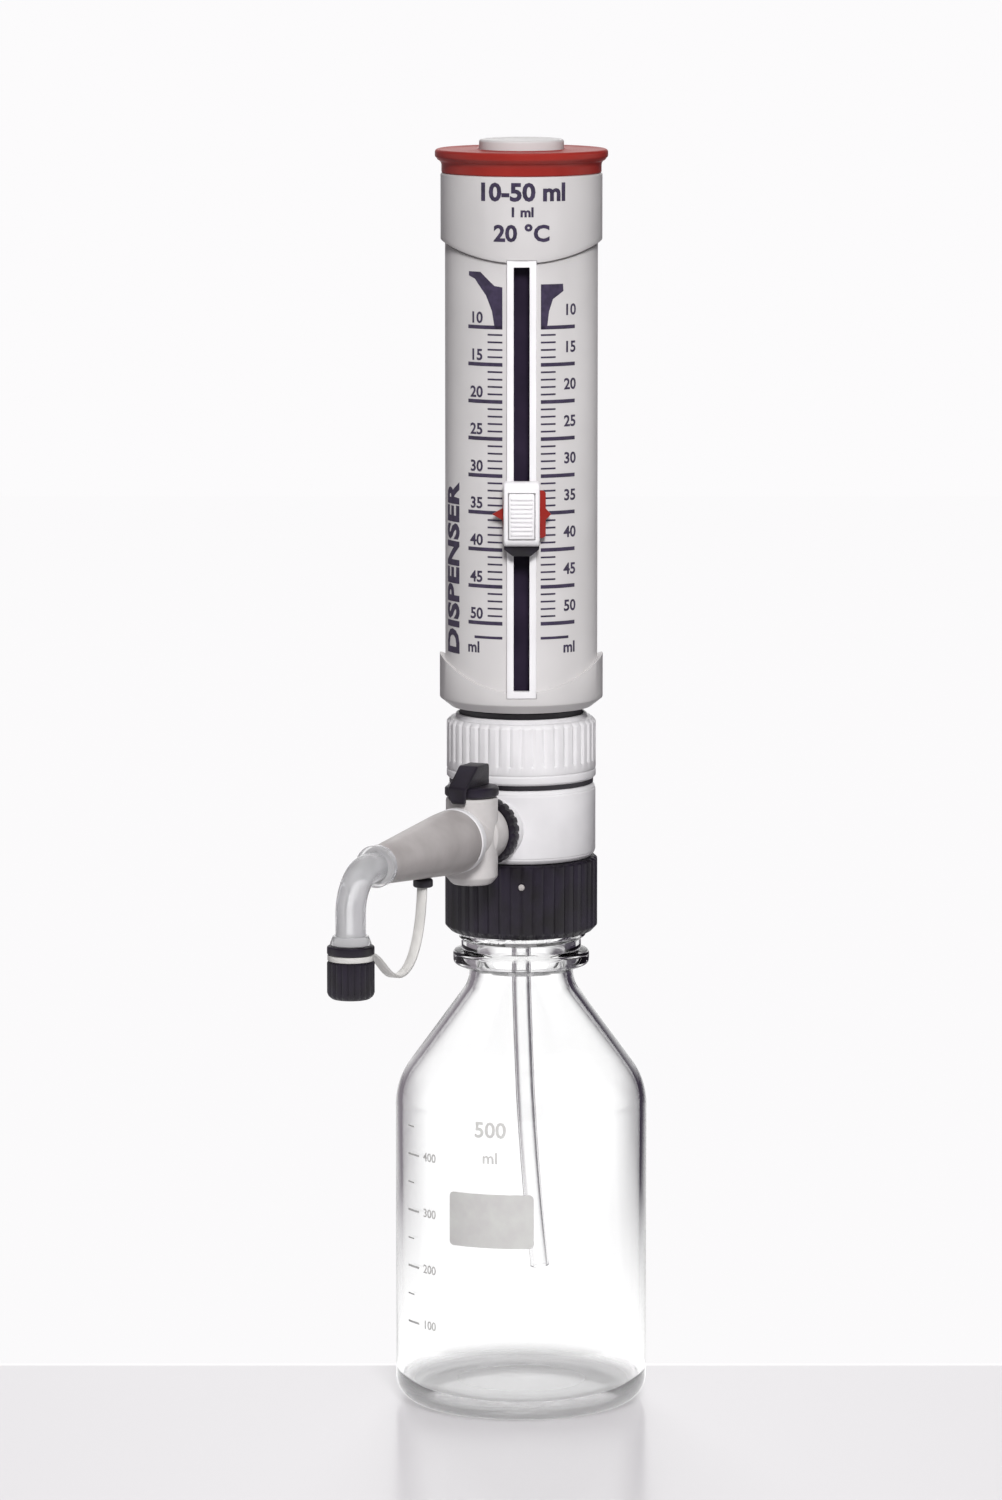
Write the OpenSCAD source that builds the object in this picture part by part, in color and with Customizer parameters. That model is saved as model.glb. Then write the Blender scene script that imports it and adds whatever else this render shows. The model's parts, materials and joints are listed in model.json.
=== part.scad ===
// Bottle-top dispenser for 50 ml on a 500 ml laboratory bottle
// Millimetres, Z up, origin at the centre of the bottle's base

/* [Bottle] */
// Outer radius of the bottle's body
bottle_r = 43; // [42:0.5:44]
// Height of the bottle's mouth above its base
bottle_h = 176; // [173:1:182]
// Glass wall of the bottle
glass_wall = 2.2; // [1.8:0.1:2.8]
// Height of the shoulder and the neck together
neck_rise = 73; // [72:1:78]
// Radius of the shoulder's curve
shoulder_r = 24; // [21:1:27]
// Slope of the shoulder, from the vertical
shoulder_angle = 36; // [34:1:38]
// Rounding of the body into the base
base_round = 8; // [5:1:10]
// Outer radius of the waist under the mouth ring
waist_r = 17.8; // [17:0.2:18.4]
// Radius of the ring under the thread
bead_r = 23.3; // [21.5:0.2:24]
// Outer radius of the threaded mouth
mouth_r = 22.2; // [21.6:0.1:22.4]
// Inner radius of the mouth
mouth_bore_r = 15; // [14.4:0.1:15.4]

/* [Valve head] */
// Radius of the valve head
head_r = 25.3; // [24.5:0.1:26]
// Height of the valve head's visible drum
head_h = 25.3; // [23:0.1:28]
// Length of the neck that the bottle nut turns on
neck_len = 7.7; // [7:0.1:10]
// Radius of that neck
neck_r = 17; // [16:0.1:18]
// Thickness of the flange that presses on the bottle's mouth
flange_t = 3.5; // [3:0.1:5]
// Thickness of the sealing ring on the bottle's mouth
mouth_seal_t = 2; // [1:0.1:3]
// Radius of the chamber through the valve head
chamber_r = 6.5; // [6:0.1:7.5]
// Height of the dark ring between the head and the ribbed nut
groove_h = 1.6; // [0.8:0.1:2]
// Height of the ribbed nut that clamps the barrel
clamp_nut_h = 20.6; // [19:0.1:24]
// Outer radius of the nuts
nut_r = 26; // [25.4:0.1:26.6]
// Number of ribs round each large nut
nut_ribs = 40; // [32:4:48]

/* [Suction] */
// Outer radius of the suction tube
suction_r = 3.25; // [3:0.05:3.5]
// Inner radius of the suction tube
suction_bore_r = 2.25; // [1.8:0.05:2.4]
// Height of the suction tube's open end above the base
suction_end_z = 46; // [20:1:70]
// Lean of the suction tube at its open end, in degrees
suction_lean = 6.4; // [2:0.1:8]

/* [Barrel and scale] */
// Share of the sleeve's height that the full volume lifts it by, which sets the bore
stroke_share = 0.6925; // [0.688:0.0005:0.698]
// Wall of the glass barrel
barrel_wall = 2.2; // [1.8:0.1:2.4]
// Largest volume of one stroke, in millilitres
max_volume = 50; // [50:1:51]
// Smallest volume that can be set, in millilitres
min_volume = 10; // [8:1:12]
// Volume that the slider is set to, in millilitres
set_volume = 35; // [20:1:45]

/* [Sleeve] */
// Outer radius of the sliding sleeve
sleeve_r = 25.8; // [25.4:0.1:26.4]
// Wall of the sleeve
sleeve_wall = 2.5; // [2.2:0.1:2.8]
// Length of the sleeve
sleeve_h = 180; // [178:1:186]
// Outer radius of the sleeve's lower collar
low_collar_r = 27.7; // [27.2:0.1:28.4]
// Outer radius of the sleeve's upper collar
top_collar_r = 27.3; // [26.9:0.1:28]
// Height of the lower collar at the sides
low_collar_h = 18.1; // [16:0.1:20]
// Height of the lower collar at the front
low_collar_front_h = 7.2; // [6:0.1:7.6]
// Height of the upper collar at the sides
top_collar_h = 21.6; // [20:0.1:24]
// Height of the upper collar at the front
top_collar_front_h = 28; // [26:0.1:29]
// Length of the slot below the mark of the largest volume
slot_below = 22.9; // [22:0.1:23]
// Length of the slot above the mark of the smallest volume
slot_above = 20.2; // [14:0.1:20.8]
// Clear width of the slot
slot_w = 5.3; // [5.2:0.1:6]
// Width of each rail beside the slot
rail_w = 2.3; // [1.9:0.1:2.6]
// Share of the sleeve's height that is below the mark of the smallest volume
scale_share = 0.7245; // [0.718:0.0005:0.728]
// Height of the red cap
cap_h = 8.8; // [8:0.1:12]
// Radius of the red cap at its foot
cap_r = 27; // [26.6:0.1:27.6]
// Radius of the red cap's lip
cap_lip_r = 29.2; // [28.4:0.1:30]
// Radius of the grey disc in the cap
disc_r = 14.3; // [12:0.1:16]
// Height of the grey disc above the cap
disc_rise = 3.3; // [2:0.1:4]

/* [Volume slider] */
// Width of the slider's grip
grip_w = 12.2; // [11.6:0.1:13]
// Height of the slider's grip above the pointers
grip_up = 11.1; // [10.4:0.1:11.4]
// Height of the slider's grip below the pointers
grip_down = 13.9; // [13:0.1:14.2]
// Depth of the slider's grip in front of the pointer plate
grip_d = 4.3; // [4.1:0.1:5]
// Width of the red pointer plate without its points
plate_w = 16; // [15.4:0.1:17]
// Height of the red pointer plate
plate_h = 16; // [15:0.1:16.6]
// Travel of the release button
press_travel = 1.2; // [0.8:0.1:1.3]

/* [Outlet] */
// Direction of the outlet seen from above, in degrees from +X
outlet_dir = 245; // [230:1:260]
// Height of the outlet's axis above the valve head's lower edge
outlet_rise = 11.8; // [11.4:0.1:12.4]
// Distance from the main axis to the stopcock's axis
tap_s = 39.5; // [39:0.1:41]
// Radius of the stopcock's upright barrel
tap_r = 8.75; // [8.4:0.05:9]
// Radius of the stopcock's plug
plug_r = 4.95; // [4.4:0.05:5.2]
// Distance from the stopcock's axis to the nozzle housing
nozzle_gap = 10.8; // [10.6:0.1:12]
// Length of the nozzle housing
nozzle_len = 60.7; // [58:0.1:64]
// Radius of the nozzle housing at its thick end
nozzle_r = 10.7; // [10.2:0.1:11]
// Radius of the nozzle housing at its thin end
nozzle_tip_r = 6.3; // [6.1:0.1:6.8]
// Outer radius of the spout tube
spout_r = 4.95; // [4.6:0.05:5]
// Inner radius of the spout tube
spout_bore_r = 3.4; // [2:0.1:3.6]
// Radius of the spout's bend
bend_r = 13; // [12:0.5:16]
// Distance from the nozzle's tip to the spout's upright axis
spout_reach = 20.8; // [19:0.1:24]
// Length of the spout's upright part below the bend
spout_drop = 24; // [22:0.1:30]
// Outer radius of the spout's closing cap
closure_r = 7.75; // [7.4:0.05:8.2]

/* [Fits] */
// Radial clearance of a turning or sliding fit
run_fit = 0.05; // [0.02:0.01:0.09]
// Gap between pieces that move past each other
free_gap = 0.3; // [0.3:0.05:0.4]

/* [Hidden] */
$fn = 96;

// Heights of the stack, from the bottle's mouth up
flange_z = bottle_h + mouth_seal_t;
neck_z = flange_z + flange_t;
head_z = neck_z + neck_len;
head_top_z = head_z + head_h;
clamp_z = head_top_z + groove_h;
clamp_top_z = clamp_z + clamp_nut_h;
spigot_h = 10.3;
spigot_r = head_r - 4.8;
spigot_top_z = head_top_z + spigot_h;
web_t = 4.7;
web_z = clamp_top_z - web_t;
damper_t = 3.7;
sleeve_z = clamp_top_z + damper_t + free_gap;
sleeve_top_z = sleeve_z + sleeve_h;
sleeve_bore_r = sleeve_r - sleeve_wall;
cap_top_z = sleeve_top_z + cap_h;

// The bottle's mouth
body_top_z = bottle_h - neck_rise;
bead_h = 5;
bead_z = bottle_h - 24.4;
thread_z = bottle_h - 15;
throat_r = mouth_r - 2.2;
nut_z = bottle_h - 12.7;
nut_top_gap = 0.3;
nut_web_z = neck_z + free_gap;
chamfer_reach = 0.25;

// The barrel, its piston and the scale
ml = stroke_share * sleeve_h / max_volume;
barrel_bore_r = sqrt(1000 / (PI * ml));
barrel_r = barrel_bore_r + barrel_wall;
barrel_seal_t = 1.2;
barrel_z = spigot_top_z + barrel_seal_t;
scale_z = sleeve_z + scale_share * sleeve_h;
slot_z = scale_z - (max_volume - min_volume) * ml - slot_below;
slot_len = scale_z + slot_above - slot_z;
pointer_z = scale_z - (set_volume - min_volume) * ml;
lug_rise = 4;
stop_z = pointer_z + lug_rise + set_volume * ml;
stop_t = 4;
cage_top_z = stop_z + stop_t;
cage_r = sleeve_bore_r - 3.3;
post_angle = 46;
holder_r = barrel_r + 0.62 * (cage_r - barrel_r);
holder_flange_r = spigot_r - 1;
holder_top_z = clamp_top_z + 6.3;
piston_gap = 1;
piston_z = barrel_z + piston_gap;
piston_h = 16;
piston_r = barrel_bore_r - 0.4;
rod_r = 4.5;
rod_screw_r = 3;
seal_groove_h = 2.5;
seal_groove_r = piston_r - 1.3;
seal_zs = [piston_z + 2, piston_z + 11.5];

// The cap's inner pieces
cap_spigot_h = 6.7;
cap_web_h = 5.3;
lift_plate_t = 4.5;
lift_plate_z = sleeve_top_z - cap_spigot_h - lift_plate_t;
screw_r = 2;
screw_head_r = 4.4;
screw_head_h = 2.6;
disc_z = sleeve_top_z + cap_web_h + 0.5;

// The slot's liner and the slider, measured from the main axis to the front
rail_y = sleeve_r + 1;
liner_wall = 0.8;
liner_half_w = slot_w / 2 + rail_w;
plate_y = rail_y + 0.4;
plate_t = 1.4;
grip_y = plate_y + plate_t + 0.1;
grip_back_t = 1.3;
shoe_w = 12;
shoe_t = 1.6;
shoe_y = sqrt(pow(sleeve_bore_r, 2) - pow(shoe_w / 2, 2)) - free_gap;
shoe_h = 13;
stem_w = slot_w - 0.7;
stem_h = 12;
stem_z = pointer_z - 8.4;
button_w = 8.7;
button_h = 15.3;
button_z = pointer_z - 8;
button_t = 2.3;
button_y = grip_y + grip_back_t + press_travel + 0.4;
pin_r = 0.9;
pin_z = stem_z + stem_h / 2;

// The outlet, measured along its own axis from the main axis
outlet_z = head_z + outlet_rise;
stub_r = 8;
stub_end_s = 27.4;
outlet_seal_t = 0.7;
tap_flange_s = stub_end_s + outlet_seal_t;
tap_flange_t = 1.2;
tap_tail_r = 6;
nut_web_s = tap_flange_s + tap_flange_t;
nut_web_t = 1.1;
outlet_nut_s = 25.8;
outlet_nut_r = 11.6;
hub_s = nut_web_s + nut_web_t + 0.2;
hub_r = 9.8;
way_r = 2;
tap_z = outlet_z - 16.2;
tap_top_z = outlet_z + 13.3;
plug_z = tap_z + 5.5;
knob_z = tap_top_z + free_gap;
knob_disc_h = 3.4;
knob_disc_r = 9.1;
knob_fin_w = 7;
knob_fin_top_z = knob_z + 10.4;
nozzle_s = tap_s + nozzle_gap;
nozzle_tip_s = nozzle_s + nozzle_len;
nozzle_rim_r = nozzle_r + 0.2;
nozzle_rim_w = 3.6;
nozzle_straight = 8;
nozzle_bore_r = spout_r + run_fit;
valve_ball_r = 2.8;
ball_lift = 1.5;
seat_bore_r = 2;
seat_slope = 0.8;
seat_cone_h = 2;
inlet_seat_z = flange_z + 0.5;
inlet_seat_t = 5.5;
inlet_cage_t = 6.5;
insert_r = chamber_r - run_fit;
inlet_ball_z = inlet_seat_z + inlet_seat_t - seat_cone_h + ball_rise();
cage_bore_r = valve_ball_r + free_gap;
outlet_seat_s = nozzle_s + 1.7;
outlet_seat_t = 5;
outlet_ball_s = outlet_seat_s + outlet_seat_t - seat_cone_h + ball_rise();
spring_stop_s = nozzle_s + 19.2;
spring_stop_t = 2.5;
spout_s = nozzle_tip_s + spout_reach;
spout_start_s = nozzle_tip_s - 18;
bend_z = outlet_z - bend_r;
spout_end_z = bend_z - spout_drop;

// The spout's cap and its strap
closure_z = spout_end_z - 3.7;
closure_h = 17.4;
closure_floor = 2.5;
closure_groove_z = closure_z + 12.4;
closure_groove_h = 2.2;
closure_groove_r = closure_r - 1.15;
collar_z = closure_z + closure_h + free_gap;
collar_h = 3;
strap_w = 3.5;
strap_t = 1.1;
stud_r = 3.3;
stud_s = nozzle_s + 27.2;
stud_top_z = outlet_z - nozzle_radius(stud_s - stud_r) - 0.1;
stud_h = 2.8;
strap_top_z = stud_top_z - stud_h;
loop_z = closure_groove_z + closure_groove_h / 2;
strap_low_z = closure_z + 1.9;
strap_mid_s = stud_s + 19;
strap_end_s = spout_s - closure_r + 0.6;

// Height of a ball's centre above the narrow end of its conical seat
function ball_rise() =
    ((valve_ball_r + 0.02) * sqrt(1 + pow(seat_slope, 2)) - seat_bore_r) / seat_slope;

// Radius of the nozzle housing at a place along its axis
function nozzle_radius(s) =
    let (start = nozzle_s + nozzle_straight)
    nozzle_r - (nozzle_r - nozzle_tip_r) * max(0, s - start) / (nozzle_tip_s - start);

// Points along an arc, both ends included
function arc(centre, r, from, to, steps) =
    [for (i = [0:steps]) let (a = from + (to - from) * i / steps)
        [centre[0] + r * cos(a), centre[1] + r * sin(a)]];

// Point and direction on a cubic curve with four control points
function curve_point(c, t) =
    pow(1 - t, 3) * c[0] + 3 * pow(1 - t, 2) * t * c[1]
    + 3 * (1 - t) * pow(t, 2) * c[2] + pow(t, 3) * c[3];
function curve_normal(c, t) =
    let (d = pow(1 - t, 2) * (c[1] - c[0]) + 2 * (1 - t) * t * (c[2] - c[1])
        + pow(t, 2) * (c[3] - c[2]))
    [-d[1], d[0]] / norm(d);

// Outline of a ring of ribs
function rib_outline(r, depth, count) =
    [for (i = [0:count - 1], k = [0:3])
        let (a = 360 * (i + [0.08, 0.42, 0.5, 1][k]) / count, q = k < 2 ? r : r - depth)
        [q * cos(a), q * sin(a)]];

// A solid of revolution from its half outline
module turned(points) {
    rotate_extrude() polygon(points);
}

// A plain ring between two radii and two heights
module ring(outer, inner, low, high) {
    turned([[inner, low], [outer, low], [outer, high], [inner, high]]);
}

// Puts pieces that are built about Z onto the outlet's axis
module on_outlet() {
    rotate([0, 0, outlet_dir]) translate([0, 0, outlet_z]) rotate([0, 90, 0]) children();
}

// Puts upright pieces at a distance along the outlet
module at_outlet(s) {
    rotate([0, 0, outlet_dir]) translate([s, 0, 0]) children();
}

// Half outline of the bottle, one glass wall inside it when inset is not zero
function bottle_outline(inset) =
    let (
        a = shoulder_angle,
        edge = base_round - inset / 2,
        sr = shoulder_r - inset,
        sc = [bottle_r - shoulder_r, body_top_z],
        shoulder_end = sc + sr * [cos(a), sin(a)],
        waist = waist_r - inset,
        fillet = 10 + inset,
        run = fillet * tan(a / 2),
        cone_dz = (shoulder_end[0] - waist) / tan(a),
        waist_z = shoulder_end[1] + cone_dz
    )
    concat(
        arc([bottle_r - inset - edge, inset + edge], edge, -90, 0, 6),
        arc(sc, sr, 0, a, 8),
        arc([waist + fillet, waist_z + run], fillet, 180 + a, 180, 5)
    );

module reagent_bottle() {
    outer = concat(
        [[0, 0]],
        bottle_outline(0),
        [[waist_r, bead_z - 2]],
        arc([bead_r - 1.5, bead_z + 1.5], 1.5, -60, 0, 3),
        arc([bead_r - 1.5, bead_z + bead_h - 1.5], 1.5, 0, 80, 3),
        [[throat_r, bead_z + bead_h], [throat_r, thread_z - 1], [mouth_r, thread_z]],
        arc([mouth_r - 1.5, bottle_h - 1.5], 1.5, 0, 90, 4)
    );
    inner = concat(
        [[0, glass_wall]],
        bottle_outline(glass_wall),
        [[mouth_bore_r, bead_z + 1], [mouth_bore_r, bottle_h + 1], [0, bottle_h + 1]]
    );
    color("lightcyan", 0.4) difference() {
        turned(outer);
        turned(inner);
    }
}

// Ribbed drum with chamfered ends; the chamfers start just outside the ribs
module ribbed_body(r, depth, count, low, high, low_edge, high_edge) {
    reach = r + chamfer_reach;
    intersection() {
        translate([0, 0, low]) linear_extrude(high - low) polygon(rib_outline(r, depth, count));
        turned([
            [0, low], [reach - low_edge, low], [reach, low + low_edge],
            [reach, high - high_edge], [reach - high_edge, high], [0, high]
        ]);
    }
}

module bottle_nut() {
    color([0.15, 0.13, 0.14]) difference() {
        ribbed_body(nut_r, 0.7, nut_ribs, nut_z, head_z - nut_top_gap, 2.2, 0.8);
        translate([0, 0, nut_z - 1]) cylinder(r = mouth_r + 0.4, h = nut_web_z - nut_z + 1);
        cylinder(r = neck_r + run_fit, h = head_z);
    }
}

module mouth_seal() {
    color("whitesmoke") ring(mouth_r - 1.8, mouth_bore_r - 1, bottle_h, flange_z);
}

module valve_head() {
    socket_r = suction_r + run_fit;
    boss_r = socket_r + 2.2;
    boss_z = flange_z - 14;
    color([0.93, 0.92, 0.93]) difference() {
        union() {
            turned([
                [0, boss_z], [boss_r - 0.8, boss_z], [boss_r, boss_z + 0.8], [boss_r, flange_z],
                [mouth_r - 0.4, flange_z], [mouth_r - 0.4, neck_z], [neck_r, neck_z],
                [neck_r, head_z], [head_r - 0.8, head_z], [head_r, head_z + 0.8],
                [head_r, head_top_z - 0.8], [head_r - 0.8, head_top_z],
                [spigot_r, head_top_z], [spigot_r, spigot_top_z], [0, spigot_top_z]
            ]);
            on_outlet() cylinder(r = stub_r, h = stub_end_s);
            on_outlet() cylinder(r = stub_r + 3.4, h = head_r + 0.2);
        }
        translate([0, 0, inlet_seat_z]) cylinder(r = chamber_r, h = spigot_top_z);
        translate([0, 0, boss_z]) cylinder(r = suction_bore_r, h = flange_z);
        translate([0, 0, boss_z - 1]) cylinder(r = socket_r, h = 13);
        on_outlet() cylinder(r = way_r + 0.5, h = stub_end_s + 1);
    }
}

module suction_tube() {
    top_z = flange_z - 2;
    turn_z = flange_z - 16;
    bend = (turn_z - suction_end_z) / sin(suction_lean);
    color("aliceblue", 0.5) {
        ring(suction_r, suction_bore_r, turn_z, top_z);
        translate([bend, 0, turn_z]) rotate([90, 0, 0]) rotate([0, 0, 180])
            rotate_extrude(angle = suction_lean) translate([bend, 0]) difference() {
                circle(r = suction_r, $fn = 48);
                circle(r = suction_bore_r, $fn = 48);
            }
    }
}

// Insert with a conical seat that faces up
module valve_seat(outer, t) {
    top = t - seat_cone_h;
    turned([
        [seat_bore_r, 0], [outer, 0], [outer, t],
        [seat_bore_r + seat_slope * seat_cone_h, t], [seat_bore_r, top]
    ]);
}

module inlet_seat() {
    color("white") translate([0, 0, inlet_seat_z]) valve_seat(insert_r, inlet_seat_t);
}

module inlet_ball() {
    color("ivory") translate([0, 0, inlet_ball_z]) sphere(r = valve_ball_r);
}

module inlet_cage() {
    low = inlet_seat_z + inlet_seat_t;
    roof = inlet_ball_z + valve_ball_r + ball_lift + run_fit;
    color("white") difference() {
        translate([0, 0, low]) cylinder(r = insert_r, h = inlet_cage_t);
        translate([0, 0, low - 1]) cylinder(r = cage_bore_r, h = roof - low + 1);
        for (a = [30:120:270]) rotate([0, 0, a]) translate([2.1, 0, low])
            cylinder(r = 0.8, h = inlet_cage_t + 1, $fn = 32);
    }
}

// Dark ring in the groove between the drum and the clamp nut
module groove_ring() {
    color([0.15, 0.13, 0.15]) ring(head_r - 0.8, spigot_r + run_fit, head_top_z, clamp_z);
}

module clamp_nut() {
    color([0.93, 0.92, 0.93]) difference() {
        ribbed_body(nut_r - 0.6, 0.6, nut_ribs, clamp_z, clamp_top_z, 0.8, 1.4);
        translate([0, 0, clamp_z - 1]) cylinder(r = spigot_r + 0.4, h = web_z - clamp_z + 1);
        cylinder(r = holder_r + run_fit, h = clamp_top_z + 1);
    }
}

module barrel_seal() {
    color("dimgray") ring(barrel_r - 0.1, barrel_bore_r + 0.2, spigot_top_z, barrel_z);
}

module glass_barrel() {
    color("lightcyan", 0.5) ring(barrel_r, barrel_bore_r, barrel_z, cage_top_z - 1.5);
}

module barrel_holder() {
    bore = barrel_r + run_fit;
    color([0.2, 0.2, 0.22]) turned([
        [bore, spigot_top_z], [holder_flange_r, spigot_top_z], [holder_flange_r, web_z],
        [holder_r, web_z], [holder_r, holder_top_z], [bore, holder_top_z]
    ]);
}

module guide_cage() {
    low = clamp_top_z + 0.1;
    window_angle = 120 - post_angle;
    color([0.12, 0.12, 0.13]) difference() {
        turned([
            [holder_r + run_fit, low], [cage_r, low], [cage_r, cage_top_z - 0.8],
            [cage_r - 0.8, cage_top_z], [barrel_r + run_fit, cage_top_z], [barrel_r + run_fit, stop_z],
            [holder_r + run_fit, stop_z]
        ]);
        for (a = [0:120:240]) rotate([0, 0, a - 90 + post_angle / 2])
            rotate_extrude(angle = window_angle) translate([holder_r - 1, holder_top_z])
                square([cage_r - holder_r + 2, stop_z - holder_top_z]);
    }
}

module damper_ring() {
    outer = sleeve_r - 1.6;
    high = clamp_top_z + damper_t;
    color([0.18, 0.16, 0.2]) turned([
        [cage_r + 0.1, clamp_top_z], [outer - 0.5, clamp_top_z], [outer, clamp_top_z + 0.5],
        [outer, high - 0.5], [outer - 0.5, high], [cage_r + 0.1, high]
    ]);
}

module scale_sleeve() {
    foot = 3.8;
    foot_h = 3;
    low_bow = low_collar_h - low_collar_front_h;
    low_cut_r = (pow(low_collar_r, 2) + pow(low_bow, 2)) / (2 * low_bow);
    top_bow = top_collar_front_h - top_collar_h;
    top_cut_r = (pow(top_collar_r, 2) + pow(top_bow, 2)) / (2 * top_bow);
    slot_half = slot_w / 2 + liner_wall + run_fit;
    color([0.8, 0.79, 0.79]) difference() {
        union() {
            turned([
                [0, sleeve_z], [low_collar_r - foot, sleeve_z], [sleeve_r, sleeve_z + foot_h / 2],
                [sleeve_r, sleeve_top_z], [0, sleeve_top_z]
            ]);
            difference() {
                turned([
                    [0, sleeve_z], [low_collar_r - foot, sleeve_z], [low_collar_r, sleeve_z + foot_h],
                    [low_collar_r, sleeve_z + low_collar_h + 1], [0, sleeve_z + low_collar_h + 1]
                ]);
                translate([0, 0, sleeve_z + low_collar_front_h + low_cut_r]) rotate([90, 0, 0])
                    cylinder(r = low_cut_r, h = 4 * low_collar_r, center = true);
            }
            intersection() {
                turned([
                    [0, sleeve_top_z - top_collar_front_h - 1],
                    [top_collar_r, sleeve_top_z - top_collar_front_h - 1],
                    [top_collar_r, sleeve_top_z], [0, sleeve_top_z]
                ]);
                translate([0, 0, sleeve_top_z - top_collar_front_h + top_cut_r]) rotate([90, 0, 0])
                    cylinder(r = top_cut_r, h = 4 * top_collar_r, center = true);
            }
        }
        translate([0, 0, sleeve_z - 1]) cylinder(r = sleeve_bore_r, h = sleeve_h + 2);
        translate([-slot_half, -2 * sleeve_r, slot_z - liner_wall - run_fit])
            cube([2 * slot_half, 2 * sleeve_r, slot_len + 2 * (liner_wall + run_fit)]);
        difference() {
            translate([-liner_half_w - 0.1, -2 * sleeve_r, slot_z - rail_w - 0.1])
                cube([2 * liner_half_w + 0.2, sleeve_r + 2, slot_len + 2 * rail_w + 0.2]);
            cylinder(r = sleeve_r, h = sleeve_top_z + 1);
        }
    }
}

module slot_liner() {
    color([0.93, 0.92, 0.93]) difference() {
        union() {
            difference() {
                translate([-liner_half_w, -rail_y, slot_z - rail_w])
                    cube([2 * liner_half_w, 5, slot_len + 2 * rail_w]);
                cylinder(r = sleeve_r + run_fit, h = sleeve_top_z);
            }
            translate([-slot_w / 2 - liner_wall, -rail_y, slot_z - liner_wall])
                cube([slot_w + 2 * liner_wall, rail_y - sleeve_bore_r, slot_len + 2 * liner_wall]);
        }
        translate([-slot_w / 2, -2 * sleeve_r, slot_z]) cube([slot_w, 2 * sleeve_r, slot_len]);
    }
}

module lift_plate() {
    color("dimgray") difference() {
        translate([0, 0, lift_plate_z]) cylinder(r = sleeve_bore_r - 0.1, h = lift_plate_t);
        cylinder(r = rod_r + run_fit, h = sleeve_top_z);
    }
}

module red_cap() {
    spigot = sleeve_bore_r - 0.1;
    web_top = sleeve_top_z + cap_web_h;
    lip_z = cap_top_z - 3;
    color([0.52, 0.16, 0.14]) difference() {
        turned(concat(
            [[0, sleeve_top_z], [spigot - 2.2, sleeve_top_z], [spigot - 2.2, lift_plate_z + lift_plate_t],
            [spigot, lift_plate_z + lift_plate_t], [spigot, sleeve_top_z], [cap_r, sleeve_top_z]],
            [[cap_r, sleeve_top_z + 3.4]],
            arc([cap_r + 1.9, sleeve_top_z + 3.4], 1.9, 180, 110, 4),
            arc([cap_lip_r - 0.9, lip_z + 0.9], 0.9, -60, 0, 3),
            arc([cap_lip_r - 1.1, cap_top_z - 1.1], 1.1, 0, 90, 4),
            [[0, cap_top_z]]
        ));
        translate([0, 0, web_top]) cylinder(r = disc_r + 0.15, h = cap_h);
        translate([0, 0, web_top - screw_head_h]) cylinder(r = screw_head_r + 0.15, h = cap_h);
        translate([0, 0, sleeve_z]) cylinder(r = screw_r + run_fit, h = sleeve_h + cap_h);
    }
}

module cap_disc() {
    high = cap_top_z + disc_rise;
    color([0.78, 0.77, 0.77]) turned(concat(
        [[0, sleeve_top_z + cap_web_h], [disc_r, sleeve_top_z + cap_web_h]],
        arc([disc_r - 1, high - 1], 1, 0, 90, 4),
        [[disc_r - 3, high - 0.4], [0, high - 0.4]]
    ));
}

module cap_screw() {
    head_low = sleeve_top_z + cap_web_h - screw_head_h;
    color("silver") difference() {
        union() {
            translate([0, 0, head_low]) cylinder(r = screw_head_r, h = screw_head_h - 0.1);
            translate([0, 0, head_low - 18]) cylinder(r = screw_r, h = 18);
        }
        translate([0, 0, sleeve_top_z + cap_web_h - 1.6]) cylinder(r = 1.7, h = 3, $fn = 6);
    }
}

module piston_rod() {
    color("gainsboro") difference() {
        union() {
            translate([0, 0, piston_z + piston_h]) cylinder(r = rod_r, h = sleeve_top_z - piston_z - piston_h);
            translate([0, 0, piston_z + 5]) cylinder(r = rod_screw_r, h = piston_h);
        }
        translate([0, 0, sleeve_top_z - 17]) cylinder(r = screw_r + run_fit, h = 18);
    }
}

module piston_head() {
    color("white") difference() {
        turned([
            [0, piston_z], [piston_r - 0.8, piston_z], [piston_r, piston_z + 0.8],
            [piston_r, piston_z + piston_h - 1], [piston_r - 1, piston_z + piston_h],
            [0, piston_z + piston_h]
        ]);
        for (z = seal_zs) ring(2 * piston_r, seal_groove_r, z, z + seal_groove_h);
        translate([0, 0, piston_z + 5]) cylinder(r = rod_screw_r + run_fit, h = piston_h);
    }
}

module piston_seals() {
    lip = barrel_bore_r - run_fit;
    color("dimgray") for (z = seal_zs) turned([
        [seal_groove_r, z], [lip - 0.4, z], [lip, z + 0.6], [lip, z + 1.1], [piston_r, z + 1.5],
        [piston_r, z + seal_groove_h], [seal_groove_r, z + seal_groove_h]
    ]);
}

// The grip's outline from the side: depth to the front against height
module grip_side() {
    back = grip_y;
    front = grip_y + grip_d;
    foot = rail_y + 0.5;
    low = pointer_z - grip_down;
    high = pointer_z + grip_up;
    polygon(concat(
        [[back, low + 2], [foot, low + 2], [foot, low]],
        [[foot + 1.2, low]],
        arc([front - 2.4, low + 6.4], 2.4, -40, 0, 4),
        arc([front - 2, high - 4.4], 2, 0, 50, 4),
        [[foot + 1.2, high], [foot, high], [foot, high - 2], [back, high - 2]]
    ));
}

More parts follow.
